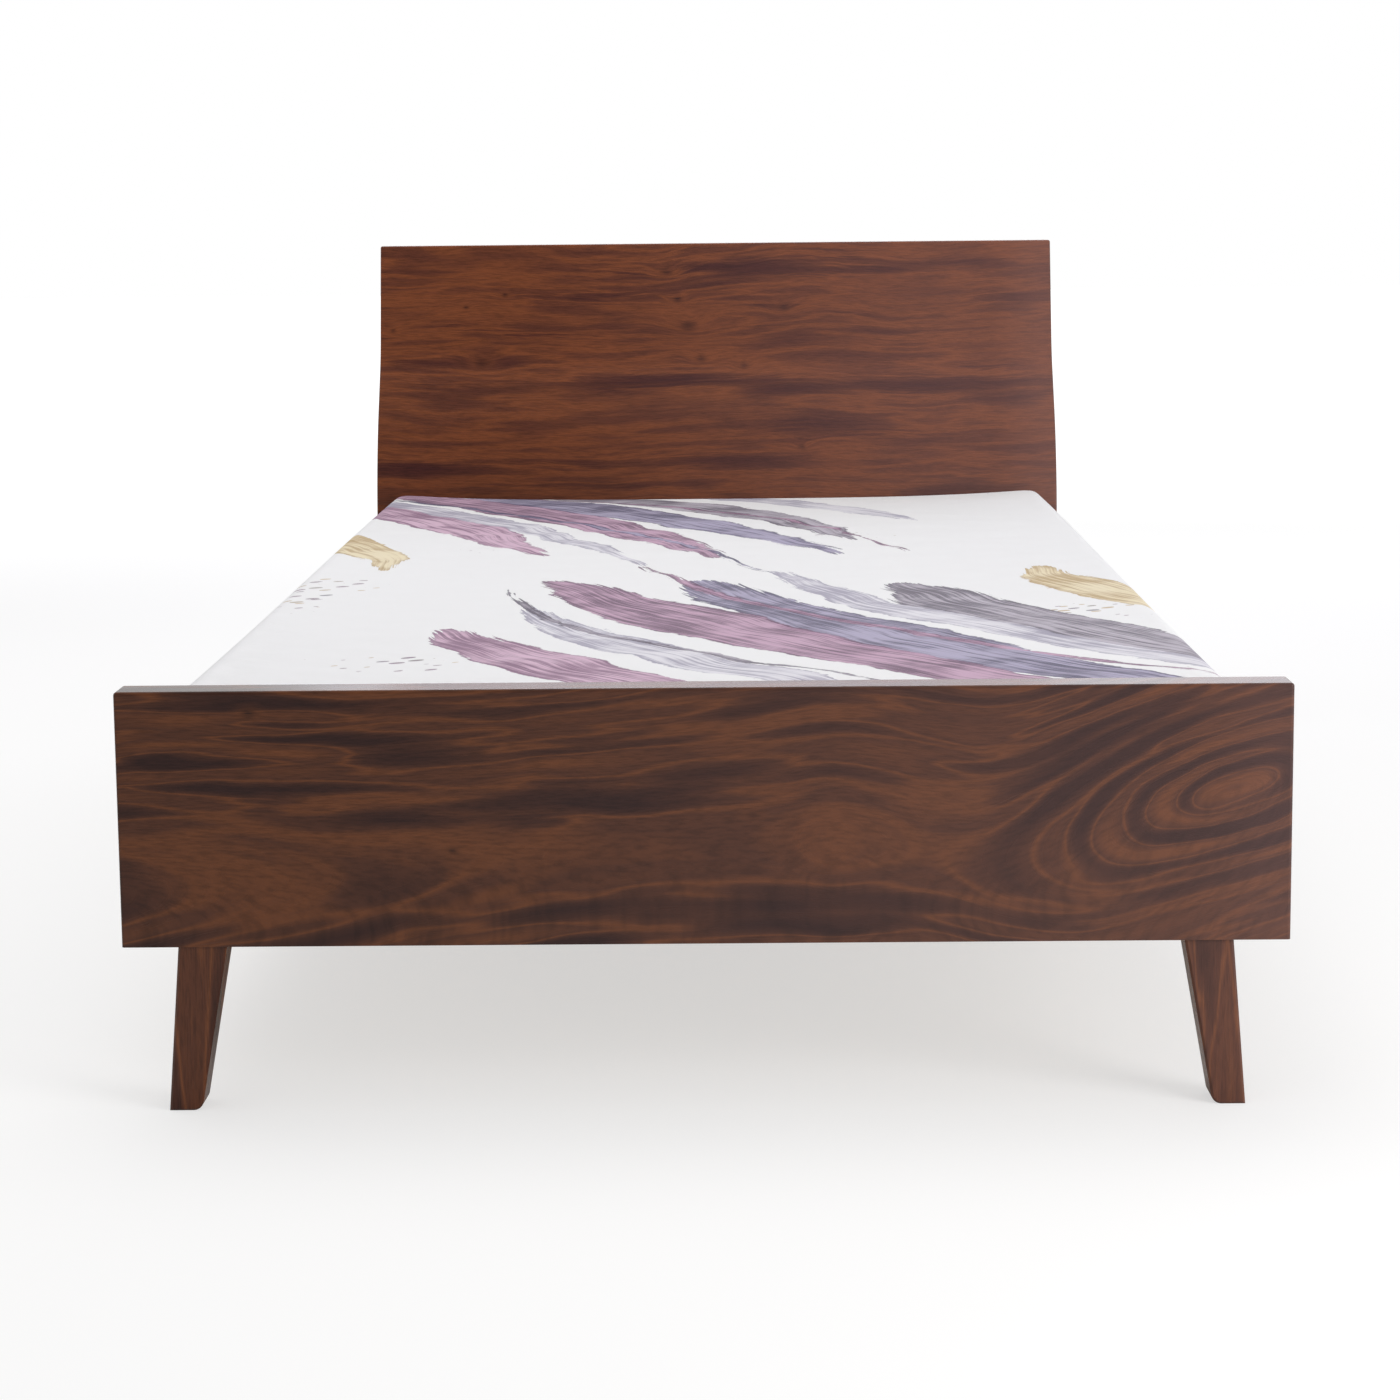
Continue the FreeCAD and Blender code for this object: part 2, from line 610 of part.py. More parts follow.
def make_leg(side, end, sign, row, turn):
    """Tapered leg of constant depth that leans outwards, with a rounded heel at the floor."""
    body = new_body("leg_%s_%s" % (end, side))
    outline = new_sketch(body, "outline", "XZ")
    corners = (
        ("-leg_top_half", 0),
        ("leg_top_half", 0),
        ("leg_toe_x", "-leg_height"),
        ("leg_heel_x", "-leg_height"),
    )
    draw_polygon(outline, corners)
    stem = pad(body, outline, "leg_depth", both_ways=True)
    heel_x, floor = value("leg_heel_x"), -value("leg_height")

    def at_heel(edge):
        """True for the edge that runs along Y at the leg's inner side on the floor."""
        middle = edge.CenterOfMass
        reach = abs(middle.x - heel_x) + abs(middle.z - floor)
        return runs_along(edge, Y_AXIS) and reach < value("leg_heel_radius") / 2

    stem = ease(body, stem, "leg_heel_radius", at_heel)

    def upright_edge(edge):
        """True for the leg's four long corners, which are neither at its top nor at the floor."""
        return floor * TOP_EDGE_SHARE > edge.CenterOfMass.z > floor * FLOOR_EDGE_SHARE

    ease(body, stem, "leg_easing", upright_edge, kind="Chamfer")
    fixings = (
        ("bolt", "bolt_on_leg_x", "bolt_hole_diameter", "bolt_leg_depth"),
        ("dowel", "dowel_on_leg_x", "dowel_hole_diameter", "dowel_hole_depth"),
    )
    for name, x, diameter, depth in fixings:
        hole = new_sketch(body, name, "XY")
        draw_holes(hole, diameter, ((x, 0),))
        pocket(body, hole, depth)
    place(body, sign + "leg_centre_x", row, "leg_height", turn)


def stack_rounds(rounds):
    """Upright solid through many-sided rounds, given from the bottom up as radius and height."""
    wires = []
    for radius, height in rounds:
        corners = round_corners(radius, FreeCAD.Vector(0, 0, height))
        wires.append(Part.makePolygon(corners + corners[:1]))
    return Part.makeLoft(wires, True, True)


def bolt_shape():
    """Hanger bolt: a plain stud upwards and a pointed wood end downwards."""
    radius, half = value("bolt_diameter") / 2, value("bolt_length") / 2
    point = value("bolt_point")
    return stack_rounds(((radius * POINT_SHARE, -half), (radius, point - half), (radius, half)))


def insert_shape():
    """Threaded sleeve in the panel, its mouth level with the panel's lower edge."""
    outer, length = value("insert_diameter") / 2, value("insert_length")
    bore, overrun = value("bolt_hole_diameter") / 2, value("cut_overrun")
    sleeve = stack_rounds(((outer, 0), (outer, length)))
    return sleeve.cut(stack_rounds(((bore, -overrun), (bore, length + overrun))))


def dowel_shape():
    """Locating dowel with chamfered ends."""
    radius, half = value("dowel_diameter") / 2, value("dowel_length") / 2
    chamfer = value("dowel_chamfer")
    inner, rim = radius - chamfer, half - chamfer
    return stack_rounds(((inner, -half), (radius, -rim), (radius, rim), (inner, half)))


def make_group(name, shape, placements):
    """One node of equal, separate pieces."""
    group = doc.addObject("Part::Feature", name)
    group.Label = name
    group.Shape = Part.Compound([shape.transformed(spot.Matrix, copy=True) for spot in placements])
    nodes[name] = group


def upright(x, y, z):
    """Placement that only moves a piece."""
    return FreeCAD.Placement(FreeCAD.Vector(x, y, z), FreeCAD.Rotation())


def make_leg_fixings():
    """A bolt, a threaded insert and a locating dowel for each leg."""
    level = value("leg_height")
    kinds = (
        ("leg_bolts", bolt_shape(), "bolt_x"),
        ("leg_inserts", insert_shape(), "bolt_x"),
        ("leg_dowels", dowel_shape(), "dowel_x"),
    )
    for name, shape, x in kinds:
        spots = [upright(value(sign + x), value(row), level) for _, _, sign, row, _ in each_leg()]
        make_group(name, shape, spots)


# Side rails with their ledgers. Each is drawn as the right one, with its inner side towards -X.


def make_rail(side, sign, turn):
    """Side rail with a seat for a hook plate in each end and pilot holes for its ledger."""
    body = new_body("side_rail_" + side)
    outline = new_sketch(body, "outline", "XZ", shift=(0, "plate_level"))
    draw_rectangle(outline, "rail_thickness", "rail_height")
    board = pad(body, outline, "clear_length", both_ways=True)
    ease(body, board, "rail_easing", lambda edge: runs_along(edge, Y_AXIS))
    ends = (("head", "-rail_half_length", True), ("foot", "rail_half_length", False))
    for end, away, turned in ends:
        seat = new_sketch(body, end + "_seat", "XZ", away, (0, "plate_level"))
        draw_rectangle(seat, "plate_width", "plate_height")
        pocket(body, seat, "plate_thickness", turned)
        pilots = new_sketch(body, end + "_pilots", "XZ", away, (0, "plate_level"))
        spots = ((0, "half_plate_screw_spacing"), (0, "-half_plate_screw_spacing"))
        draw_holes(pilots, "screw_hole_diameter", spots)
        pocket(body, pilots, "plate_pilot_depth", turned)
    pilots = new_sketch(body, "ledger_pilots", "YZ", "-rail_half_thickness")
    spots = (("ledger_first_screw_y", "ledger_screw_level_on_rail"),)
    draw_holes(pilots, "screw_hole_diameter", spots)
    first = pocket(body, pilots, "ledger_pilot_depth", turned=True)
    repeat_along(body, first, "ledger_screw_span", LEDGER_SCREW_COUNT)
    place(body, sign + "rail_centre_x", "tray_centre_y", "rail_bottom_z", turn)


def make_ledger(side, sign, turn):
    """Square batten screwed to the inside of a rail, which the slats lie on."""
    body = new_body("ledger_" + side)
    outline = new_sketch(body, "outline", "XZ", shift=(0, "ledger_screw_level"))
    draw_rectangle(outline, "ledger_width", "ledger_height")
    pad(body, outline, "ledger_length", both_ways=True)
    pilots = new_sketch(body, "slat_pilots", "XY", "ledger_height")
    spots = (("slat_screw_on_ledger_x", "end_slat_y"), ("slat_screw_on_ledger_x", "-end_slat_y"))
    draw_holes(pilots, "screw_hole_diameter", spots)
    pocket(body, pilots, "slat_pilot_depth")
    spots = (("ledger_first_screw_y", "ledger_screw_level"),)
    row = ("ledger_screw_span", LEDGER_SCREW_COUNT)
    countersink(body, "YZ", "-ledger_half_width", spots, "ledger_width", turned=True, row=row)
    place(body, sign + "ledger_centre_x", "tray_centre_y", "ledger_bottom_z", turn)


# Hook plates and slotted plates. Both are drawn with their working face in the XZ plane: the hooks
# reach towards +Y, through the slots and down behind them.


def plate_screw_spots():
    """Centres of a plate's two screws."""
    return ((0, "half_plate_screw_spacing"), (0, "-half_plate_screw_spacing"))


def each_joint():
    """Name, signed place along X and Y, and turn of the four joints between rails and panels."""
    for side, sign, _ in at_each_side():
        for end, row, turn in (("head", "head_face_y", 0.0), ("foot", "foot_face_y", HALF_TURN)):
            yield "%s_%s" % (end, side), sign + "rail_centre_x", row, turn


def make_hook_plate(name, x, y, turn):
    """Steel plate let into a rail's end, with two hooks standing out of it."""
    body = new_body("hook_plate_" + name)
    outline = new_sketch(body, "outline", "XZ")
    draw_rectangle(outline, "plate_width", "plate_height")
    pad(body, outline, "plate_thickness")
    profile = (
        ("-hook_anchor_y", 0),
        ("hook_grip_y", 0),
        ("hook_grip_y", "-hook_lip"),
        ("hook_reach", "-hook_lip"),
        ("hook_reach", "hook_lead_z"),
        ("hook_lead_y", "hook_neck"),
        ("-hook_anchor_y", "hook_neck"),
    )
    for level, shift in (("upper", "half_hook_spacing"), ("lower", "-half_hook_spacing")):
        hook = new_sketch(body, level + "_hook", "YZ", shift=(0, shift))
        draw_polygon(hook, profile)
        pad(body, hook, "hook_thickness", both_ways=True)
    countersink(body, "XZ", 0, plate_screw_spots(), "plate_thickness", turned=True)
    place(body, x, y, "rail_centre_z", turn)


def make_slotted_plate(name, x, y, turn):
    """Steel plate let into a panel, with a slot for each hook of the plate that faces it."""
    body = new_body("slotted_plate_" + name)
    outline = new_sketch(body, "outline", "XZ")
    draw_rectangle(outline, "plate_width", "plate_height")
    pad(body, outline, "plate_thickness", turned=True)
    for level, shift in (("upper", "upper_slot_z"), ("lower", "lower_slot_z")):
        slot = new_sketch(body, level + "_slot", "XZ", shift=(0, shift))
        draw_rectangle(slot, "slot_width", "slot_height")
        pocket(body, slot, "plate_thickness")
    countersink(body, "XZ", 0, plate_screw_spots(), "plate_thickness")
    place(body, x, y, "rail_centre_z", turn)


# Slatted base


def make_slat(number):
    """One slat, drawn at its place along the bed. The first and the last are screwed down."""
    body = new_body("slat_%02d" % number)
    outline = new_sketch(body, "outline", "YZ", shift=(0, "slat_half_thickness"))
    draw_rectangle(outline, "slat_width", "slat_thickness")
    board = pad(body, outline, "slat_length", both_ways=True)
    ease(body, board, "slat_easing", lambda edge: runs_along(edge, X_AXIS), kind="Chamfer")
    if number in (1, SLAT_COUNT):
        spots = (("slat_screw_x", 0), ("-slat_screw_x", 0))
        countersink(body, "XY", "slat_thickness", spots, "slat_thickness")
    place(body, 0, "slat_%02d_y" % number, "ledger_top_z")


def make_tape(side, sign):
    """Woven tape that lies along the slats and keeps them evenly apart."""
    tape = doc.addObject("Part::Box", "slat_tape_" + side)
    tape.Label = "slat_tape_" + side
    bind(tape, "Length", "tape_width")
    bind(tape, "Width", "tape_length")
    bind(tape, "Height", "tape_thickness")
    tape.setExpression(
        "Placement.Base.x", formula(sign + "tape_centre_x") + " - Sizes.tape_width / 2"
    )
    tape.setExpression("Placement.Base.y", "Places.tray_centre_y - Places.tape_length / 2")
    tape.setExpression("Placement.Base.z", "Places.slat_top_z")
    nodes[tape.Label] = tape


# Wood screws, drawn with the head's flat top at zero and the shank downwards


def screw_shape(length_alias):
    """Countersunk wood screw: head cone, plain shank and point."""
    head, shank = value("screw_head_diameter") / 2, value("screw_diameter") / 2
    length = value(length_alias)
    head_height = head - shank
    tip = shank * POINT_SHARE
    return stack_rounds(((tip, -length), (shank, shank - length), (shank, -head_height), (head, 0)))


def make_screws():
    """Screws of the slats, the ledgers and the plates, each kind in one node."""
    long_screw, short_screw = screw_shape("long_screw_length"), screw_shape("short_screw_length")
    middle = value("tray_centre_y")
    slat_spots = [
        upright(value(sign + "slat_screw_x"), middle + value(end), value("slat_top_z"))
        for _, sign, _ in at_each_side()
        for end in ("end_slat_y", "-end_slat_y")
    ]
    make_group("slat_screws", long_screw, slat_spots)
    ledger_spots = []
    pitch = value("ledger_screw_span") / (LEDGER_SCREW_COUNT - 1)
    z = value("ledger_bottom_z") + value("ledger_screw_level")
    for _, sign, _ in at_each_side():
        inward = FreeCAD.Vector(-value(sign + "rail_centre_x"), 0, 0)
        turn = FreeCAD.Rotation(Y_AXIS, Z_AXIS, inward, "ZXY")
        x = value(sign + "ledger_face_x")
        for step in range(LEDGER_SCREW_COUNT):
            y = middle + value("ledger_first_screw_y") + pitch * step
            ledger_spots.append(FreeCAD.Placement(FreeCAD.Vector(x, y, z), turn))
    make_group("ledger_screws", long_screw, ledger_spots)
    plate_spots = {"hook_plate_screws": [], "slotted_plate_screws": []}
    for _, x, y, turn in each_joint():
        outward = FreeCAD.Rotation(Z_AXIS, turn).multVec(Y_AXIS)
        for _, level in plate_screw_spots():
            spot = FreeCAD.Vector(value(x), value(y), value("rail_centre_z") + value(level))
            for name, way in (("hook_plate_screws", -1), ("slotted_plate_screws", 1)):
                turned = FreeCAD.Rotation(Z_AXIS * -1, outward * way)
                plate_spots[name].append(FreeCAD.Placement(spot, turned))
    for name, spots in plate_spots.items():
        make_group(name, short_screw, spots)


# Mattress and fitted sheet

# Turns of the quarter round at the mattress's ends at which a section is taken
END_TURN_SHARES = (0.0, 0.3, 0.62, 1.0)
# Bulge and crown at the flat end face, and at the end of the quarter round
END_BULGE_SHARES = (0.4, 1.0)
END_CROWN_SHARES = (0.1, 0.4)
# Places between the end rounds at which the crown is set, with the crown's height there
CROWN_SHARES = ((0.2, 0.85), (0.5, 1.0), (0.8, 0.85))


def between(pair, share):
    """Number part of the way from the first of a pair to the second."""
    return pair[0] + (pair[1] - pair[0]) * share


def cushion_section(y, half_width, bottom, top, crown, low_radius, high_radius, bulge):
    """Closed outline across the mattress: flat below, round at its edges and domed on top."""
    diagonal = math.sqrt(0.5)

    def corner(sign, level, radius, up):
        """Start, middle and end of a quarter round, from the side to the top or bottom."""
        centre_x = sign * (half_width - radius)
        centre_z = level - up * radius
        return (
            FreeCAD.Vector(sign * half_width, y, centre_z),
            FreeCAD.Vector(
                centre_x + sign * radius * diagonal, y, centre_z + up * radius * diagonal
            ),
            FreeCAD.Vector(centre_x, y, level),
        )

    low_right, high_right = corner(1, bottom, low_radius, -1), corner(1, top, high_radius, 1)
    low_left, high_left = corner(-1, bottom, low_radius, -1), corner(-1, top, high_radius, 1)
    middle = (bottom + top) / 2
    edges = (
        Part.LineSegment(low_left[2], low_right[2]),
        Part.Arc(*reversed(low_right)),
        Part.Arc(low_right[0], FreeCAD.Vector(half_width + bulge, y, middle), high_right[0]),
        Part.Arc(*high_right),
        Part.Arc(high_right[2], FreeCAD.Vector(0, y, top + crown), high_left[2]),
        Part.Arc(*reversed(high_left)),
        Part.Arc(high_left[0], FreeCAD.Vector(-half_width - bulge, y, middle), low_left[0]),
        Part.Arc(*low_left),
    )
    return Part.Wire([edge.toShape() for edge in edges])


def cushion(skin):
    """Solid of the mattress, grown by a skin on every side.

    Its ends are quarter rounds in plan, over which its top and bottom edges also draw in.
    """
    half_width = value("mattress_width") / 2 - value("mattress_bulge") + skin
    half_length = value("mattress_length") / 2 + skin
    bottom = value("mattress_bottom_z") - skin
    top = value("mattress_bottom_z") + value("mattress_thickness") + skin
    low_radius = value("mattress_bottom_radius") + skin
    high_radius = value("mattress_top_radius") + skin
    corner_radius = value("mattress_corner_radius") + skin
    bulge, crown = value("mattress_bulge"), value("mattress_crown")
    middle = value("tray_centre_y")

    def end_section(share, way):
        """Section part of the way round one end, from its flat face to its full width."""
        angle = math.radians(HALF_TURN / 2 * share)
        drawn_in = 1 - math.sin(angle)
        y = middle + way * (half_length - corner_radius * (1 - math.cos(angle)))
        return cushion_section(
            y,
            half_width - corner_radius * drawn_in,
            bottom + low_radius * drawn_in,
            top - high_radius * drawn_in,
            crown * between(END_CROWN_SHARES, share),
            low_radius,
            high_radius,
            bulge * between(END_BULGE_SHARES, share),
        )

    straight = half_length - corner_radius
    sections = [end_section(share, -1) for share in END_TURN_SHARES]
    for place_share, crown_share in CROWN_SHARES:
        y = middle + straight * (2 * place_share - 1)
        section = cushion_section(
            y, half_width, bottom, top, crown * crown_share, low_radius, high_radius, bulge
        )
        sections.append(section)
    sections += [end_section(share, 1) for share in reversed(END_TURN_SHARES)]
    return Part.makeLoft(sections, True, True)


def make_bedding():
    """Foam mattress, and the fitted sheet drawn over it with its hem tucked under."""
    mattress = doc.addObject("Part::Feature", "mattress")
    mattress.Label = "mattress"
    mattress.Shape = cushion(0.0)
    nodes["mattress"] = mattress
    play = value("cloth_play")
    shell = cushion(play + value("sheet_thickness")).cut(cushion(play))
    hem = value("sheet_hem")
    width, length = value("mattress_width") - 2 * hem, value("mattress_length") - 2 * hem
    depth = value("sheet_thickness") + 2 * play
    corner = FreeCAD.Vector(
        -width / 2, value("tray_centre_y") - length / 2, value("mattress_bottom_z") - depth
    )
    opening = Part.makeBox(width, length, depth, corner)
    sheet = doc.addObject("Part::Feature", "fitted_sheet")
    sheet.Label = "fitted_sheet"
    sheet.Shape = shell.cut(opening)
    nodes["fitted_sheet"] = sheet


def build():
    """Make every piece of the bed."""
    make_headboard()
    make_footboard()
    for leg in each_leg():
        make_leg(*leg)
    make_leg_fixings()
    for side, sign, turn in at_each_side():
        make_rail(side, sign, turn)
        make_ledger(side, sign, turn)
    for joint in each_joint():
        make_hook_plate(*joint)
        make_slotted_plate(*joint)
    for number in range(1, SLAT_COUNT + 1):
        make_slat(number)
    for side, sign, _ in at_each_side():
        make_tape(side, sign)
    make_screws()
    make_bedding()


def check():
    """Stop if any object failed, or any piece is not a sound solid."""
    for item in doc.Objects:
        if "Invalid" in item.State or "Error" in item.State:
            raise RuntimeError("%s failed: %s" % (item.Label, item.State))
        if item.TypeId == "Sketcher::SketchObject" and item.solve() != 0:
            raise RuntimeError("%s cannot be solved" % item.Label)
    for name, item in nodes.items():
        shape = item.Shape
        if shape.isNull() or not shape.isValid() or not shape.Solids:
            raise RuntimeError(name + " is not a sound solid")


def write():
    """Write each piece to a file of its own."""
    os.makedirs("parts", exist_ok=True)
    for name, item in nodes.items():
        item.Shape.exportStep("parts/%s.step" % name)


build()
doc.recompute()
check()
write()
box = Part.Compound([item.Shape for item in nodes.values()]).BoundBox
print("%d pieces, X %.2f to %.2f, Y %.2f to %.2f, Z %.2f to %.2f" % (
    len(nodes), box.XMin, box.XMax, box.YMin, box.YMax, box.ZMin, box.ZMax
))
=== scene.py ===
"""Looks of a single bed: dark stained panels and legs, a slatted base and a mattress in a printed sheet.

Lengths are in metres and turns in degrees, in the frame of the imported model: X runs across the bed,
+Y from foot to head, +Z up, and the floor is at zero.
"""

import logging
import math
from dataclasses import dataclass
from enum import Enum

import bpy
import numpy as np
from mathutils import Matrix, Vector


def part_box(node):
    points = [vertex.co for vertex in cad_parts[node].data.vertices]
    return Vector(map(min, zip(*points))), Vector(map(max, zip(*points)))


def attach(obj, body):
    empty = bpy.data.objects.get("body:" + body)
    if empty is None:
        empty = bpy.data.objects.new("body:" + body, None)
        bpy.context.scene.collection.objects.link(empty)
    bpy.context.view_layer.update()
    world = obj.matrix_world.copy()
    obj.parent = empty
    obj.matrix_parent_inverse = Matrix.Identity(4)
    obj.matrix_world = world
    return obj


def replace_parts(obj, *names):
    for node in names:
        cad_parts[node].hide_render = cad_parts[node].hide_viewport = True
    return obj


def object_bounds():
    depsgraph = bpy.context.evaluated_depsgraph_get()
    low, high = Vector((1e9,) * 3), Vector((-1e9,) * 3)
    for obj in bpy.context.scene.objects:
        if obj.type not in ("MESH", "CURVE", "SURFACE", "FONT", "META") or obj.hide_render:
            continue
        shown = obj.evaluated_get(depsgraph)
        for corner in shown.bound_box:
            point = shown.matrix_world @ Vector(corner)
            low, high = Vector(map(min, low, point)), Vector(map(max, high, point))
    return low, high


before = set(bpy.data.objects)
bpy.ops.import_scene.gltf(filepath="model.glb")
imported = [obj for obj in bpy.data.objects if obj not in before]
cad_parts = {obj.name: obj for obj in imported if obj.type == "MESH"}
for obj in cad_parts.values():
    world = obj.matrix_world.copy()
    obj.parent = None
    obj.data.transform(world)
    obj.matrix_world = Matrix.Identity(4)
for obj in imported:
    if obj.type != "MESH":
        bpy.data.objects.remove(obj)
cad_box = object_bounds()

log = logging.getLogger("single_bed")

Socket = bpy.types.NodeSocket
Term = float | tuple | Socket
Mesh = tuple[np.ndarray, list, np.ndarray | None]


class Wiring:
    """Adds nodes to one node tree and joins them up."""

    def __init__(self, tree: bpy.types.NodeTree) -> None:
        """Work on one tree.

        Args:
            tree: The node tree that gets the nodes.
        """
        self.tree = tree

    def add(self, kind: str, feeds: dict[str, Term] | None = None, **settings) -> bpy.types.Node:
        """Add one node.

        Args:
            kind: The node's type.
            feeds: What goes into its inputs, by their names.
            **settings: Properties of the node.

        Returns:
            The new node.
        """
        made = self.tree.nodes.new(kind)
        for name, setting in settings.items():
            setattr(made, name, setting)
        for name, term in (feeds or {}).items():
            self.feed(made.inputs[name], term)
        return made

    def feed(self, socket: Socket, term: Term) -> None:
        """Join an output to a socket, or set the socket's own value.

        Args:
            socket: The input that is fed.
            term: An output, or a number or tuple.
        """
        if isinstance(term, Socket):
            self.tree.links.new(term, socket)
        else:
            socket.default_value = term

    def math(self, operation: str, *terms: Term) -> Socket:
        """Result of a Math node.

        Args:
            operation: The node's operation, such as ADD.
            *terms: Its inputs in order.

        Returns:
            The output.
        """
        made = self.add("ShaderNodeMath", operation=operation)
        for socket, term in zip(made.inputs, terms):
            self.feed(socket, term)
        return made.outputs[0]

    def line(self, term: Term, slope: Term, start: Term) -> Socket:
        """Term times a slope, plus a start."""
        return self.math("MULTIPLY_ADD", term, slope, start)

    def times(self, first: Term, second: Term) -> Socket:
        """Product of two terms."""
        return self.math("MULTIPLY", first, second)

    def less(self, first: Term, second: Term) -> Socket:
        """First term less the second."""
        return self.math("SUBTRACT", first, second)

    def sine(self, term: Term) -> Socket:
        """Sine of a term."""
        return self.math("SINE", term)

    def total(self, *terms: Term) -> Socket:
        """Sum of several terms.

        Args:
            *terms: What is added up.

        Returns:
            The output.
        """
        result = terms[0]
        for term in terms[1:]:
            result = self.math("ADD", result, term)
        return result

    def join(self, x: Term, y: Term, z: Term) -> Socket:
        """Vector of three numbers."""
        return self.add("ShaderNodeCombineXYZ", {"X": x, "Y": y, "Z": z}).outputs[0]

    def stretched(self, places: tuple[Term, ...], factors: tuple[float, ...]) -> Socket:
        """Vector of three numbers, each times its own factor."""
        return self.join(*(self.times(place, factor) for place, factor in zip(places, factors)))

    def split(self, vector: Socket) -> tuple[Socket, Socket, Socket]:
        """Three numbers of a vector."""
        made = self.add("ShaderNodeSeparateXYZ", {"Vector": vector})
        return made.outputs[0], made.outputs[1], made.outputs[2]

    def noise(self, vector: Socket, scale: float, detail: float = 2.0, rough: float = 0.5) -> Socket:
        """Smooth noise from 0 to 1, with finer layers by its detail, as strong as it is rough."""
        feeds = {"Vector": vector, "Scale": scale, "Detail": detail, "Roughness": rough}
        return self.add("ShaderNodeTexNoise", feeds).outputs[0]

    def spread(self, term: Term, low: float, high: float, start: float = 0.0, stop: float = 1.0) -> Socket:
        """Map a span of numbers smoothly to another and hold its ends.

        Args:
            term: The number.
            low: Start of its span.
            high: End of its span.
            start: Result at the start.
            stop: Result at the end.

        Returns:
            The output.
        """
        feeds = {"Value": term, "From Min": low, "From Max": high, "To Min": start, "To Max": stop}
        made = self.add("ShaderNodeMapRange", feeds, interpolation_type="SMOOTHSTEP")
        return made.outputs[0]

    def ramp(self, term: Socket, stops: list[tuple[float, tuple]]) -> Socket:
        """Colour ramp.

        Args:
            term: Place along the ramp.
            stops: Places with their colours.

        Returns:
            The colour output.
        """
        made = self.add("ShaderNodeValToRGB", {"Fac": term})
        points = made.color_ramp.elements
        points.remove(points[1])
        points[0].position, points[0].color = stops[0]
        for place, colour in stops[1:]:
            points.new(place).color = colour
        return made.outputs[0]

    def curve(self, term: Socket, points: np.ndarray) -> Socket:
        """Smooth curve through points.

        Args:
            term: Place along the curve, from 0 to 1.
            points: Places and heights, each from 0 to 1.

        Returns:
            The height.
        """
        made = self.add("ShaderNodeFloatCurve", {"Value": term})
        line = made.mapping.curves[0]
        line.points[0].location, line.points[1].location = points[0], points[-1]
        for place, height in points[1:-1]:
            line.points.new(place, height)
        made.mapping.update()
        return made.outputs[0]

    def mix(self, share: Term, first: Term, second: Term, way: str = "MIX") -> Socket:
        """Blend of two colours.

        Args:
            share: How much of the second one.
            first: First colour.
            second: Second colour.
            way: How they blend.

        Returns:
            The colour output.
        """
        made = self.add("ShaderNodeMix", data_type="RGBA", blend_type=way)
        shown = [socket for socket in made.inputs if socket.enabled]
        for socket, term in zip(shown, (share, first, second)):
            self.feed(socket, term)
        return next(socket for socket in made.outputs if socket.enabled)

    def bump(self, height: Socket, strength: float, distance: float) -> Socket:
        """Normal of a fine relief of this depth in metres, of which the strength shows."""
        feeds = {"Height": height, "Strength": strength, "Distance": distance}
        return self.add("ShaderNodeBump", feeds).outputs[0]


def tone(red: float, green: float, blue: float) -> tuple[float, float, float, float]:
    """Colour as a paint chart gives it, from 0 to 255, turned into the light that it reflects.

    Args:
        red: Red part.
        green: Green part.
        blue: Blue part.

    Returns:
        The colour in linear light.
    """
    parts = np.array((red, green, blue)) / 255.0
    linear = np.where(parts <= 0.04045, parts / 12.92, ((parts + 0.055) / 1.055) ** 2.4)
    return (*(float(part) for part in linear), 1.0)


def blend(first: tuple, second: tuple, share: float) -> tuple[float, float, float, float]:
    """Colour between two others, by the second one's share."""
    return tuple((1.0 - share) * one + share * other for one, other in zip(first, second))


# Colour of the painted haze: pale light painted over the stain towards the right end (+X) of the panels and
# legs
PAINTED_HAZE_COLOUR = tone(206, 168, 166)


def new_material(name: str) -> tuple[bpy.types.Material, Wiring, bpy.types.Node]:
    """Start a material.

    Args:
        name: Its name.

    Returns:
        The material, its wiring and its shader.
    """
    material = bpy.data.materials.new(name)
    material.use_nodes = True
    wiring = Wiring(material.node_tree)
    shader = next(node for node in material.node_tree.nodes if node.type == "BSDF_PRINCIPLED")
    return material, wiring, shader


def place_of(wiring: Wiring) -> Socket:
    """Object coordinates, which are metres in the model's frame."""
    return wiring.add("ShaderNodeTexCoord").outputs["Object"]


class Grain(Enum):
    """Which way a board's grain runs, as the order of along, across and through."""

    ACROSS_BED = (0, 2, 1)
    ALONG_BED = (1, 2, 0)
    UPRIGHT = (2, 0, 1)


@dataclass(frozen=True)
class Spot:
    """Soft oval place on a board, and how strongly something shows there."""

    along: float
    across: float
    half_length: float
    half_width: float
    share: float = 1.0
    slant: float = 0.0

    def bell(self, wiring: Wiring, along: Socket, across: Socket) -> Socket:
        """Gaussian bell round the place.

        Args:
            wiring: The tree.
            along: Place along the grain.
            across: Place across the board.

        Returns:
            The bell, from 0 to 1.
        """
        cosine, sine = math.cos(math.radians(self.slant)), math.sin(math.radians(self.slant))
        x, z = wiring.less(along, self.along), wiring.less(across, self.across)
        run = wiring.line(x, cosine / self.half_length, wiring.times(z, sine / self.half_length))
        rise = wiring.line(x, -sine / self.half_width, wiring.times(z, cosine / self.half_width))
        reach = wiring.line(run, run, wiring.times(rise, rise))
        return wiring.math("EXPONENT", wiring.times(reach, -1.0))


@dataclass(frozen=True)
class Knot:
    """Small dark pin knot."""

    along: float
    across: float
    size: float

    def spot(self, length: float, width: float) -> Spot:
        """Oval round the knot, its half length and half width in sizes of the knot."""
        return Spot(self.along, self.across, length * self.size, width * self.size)


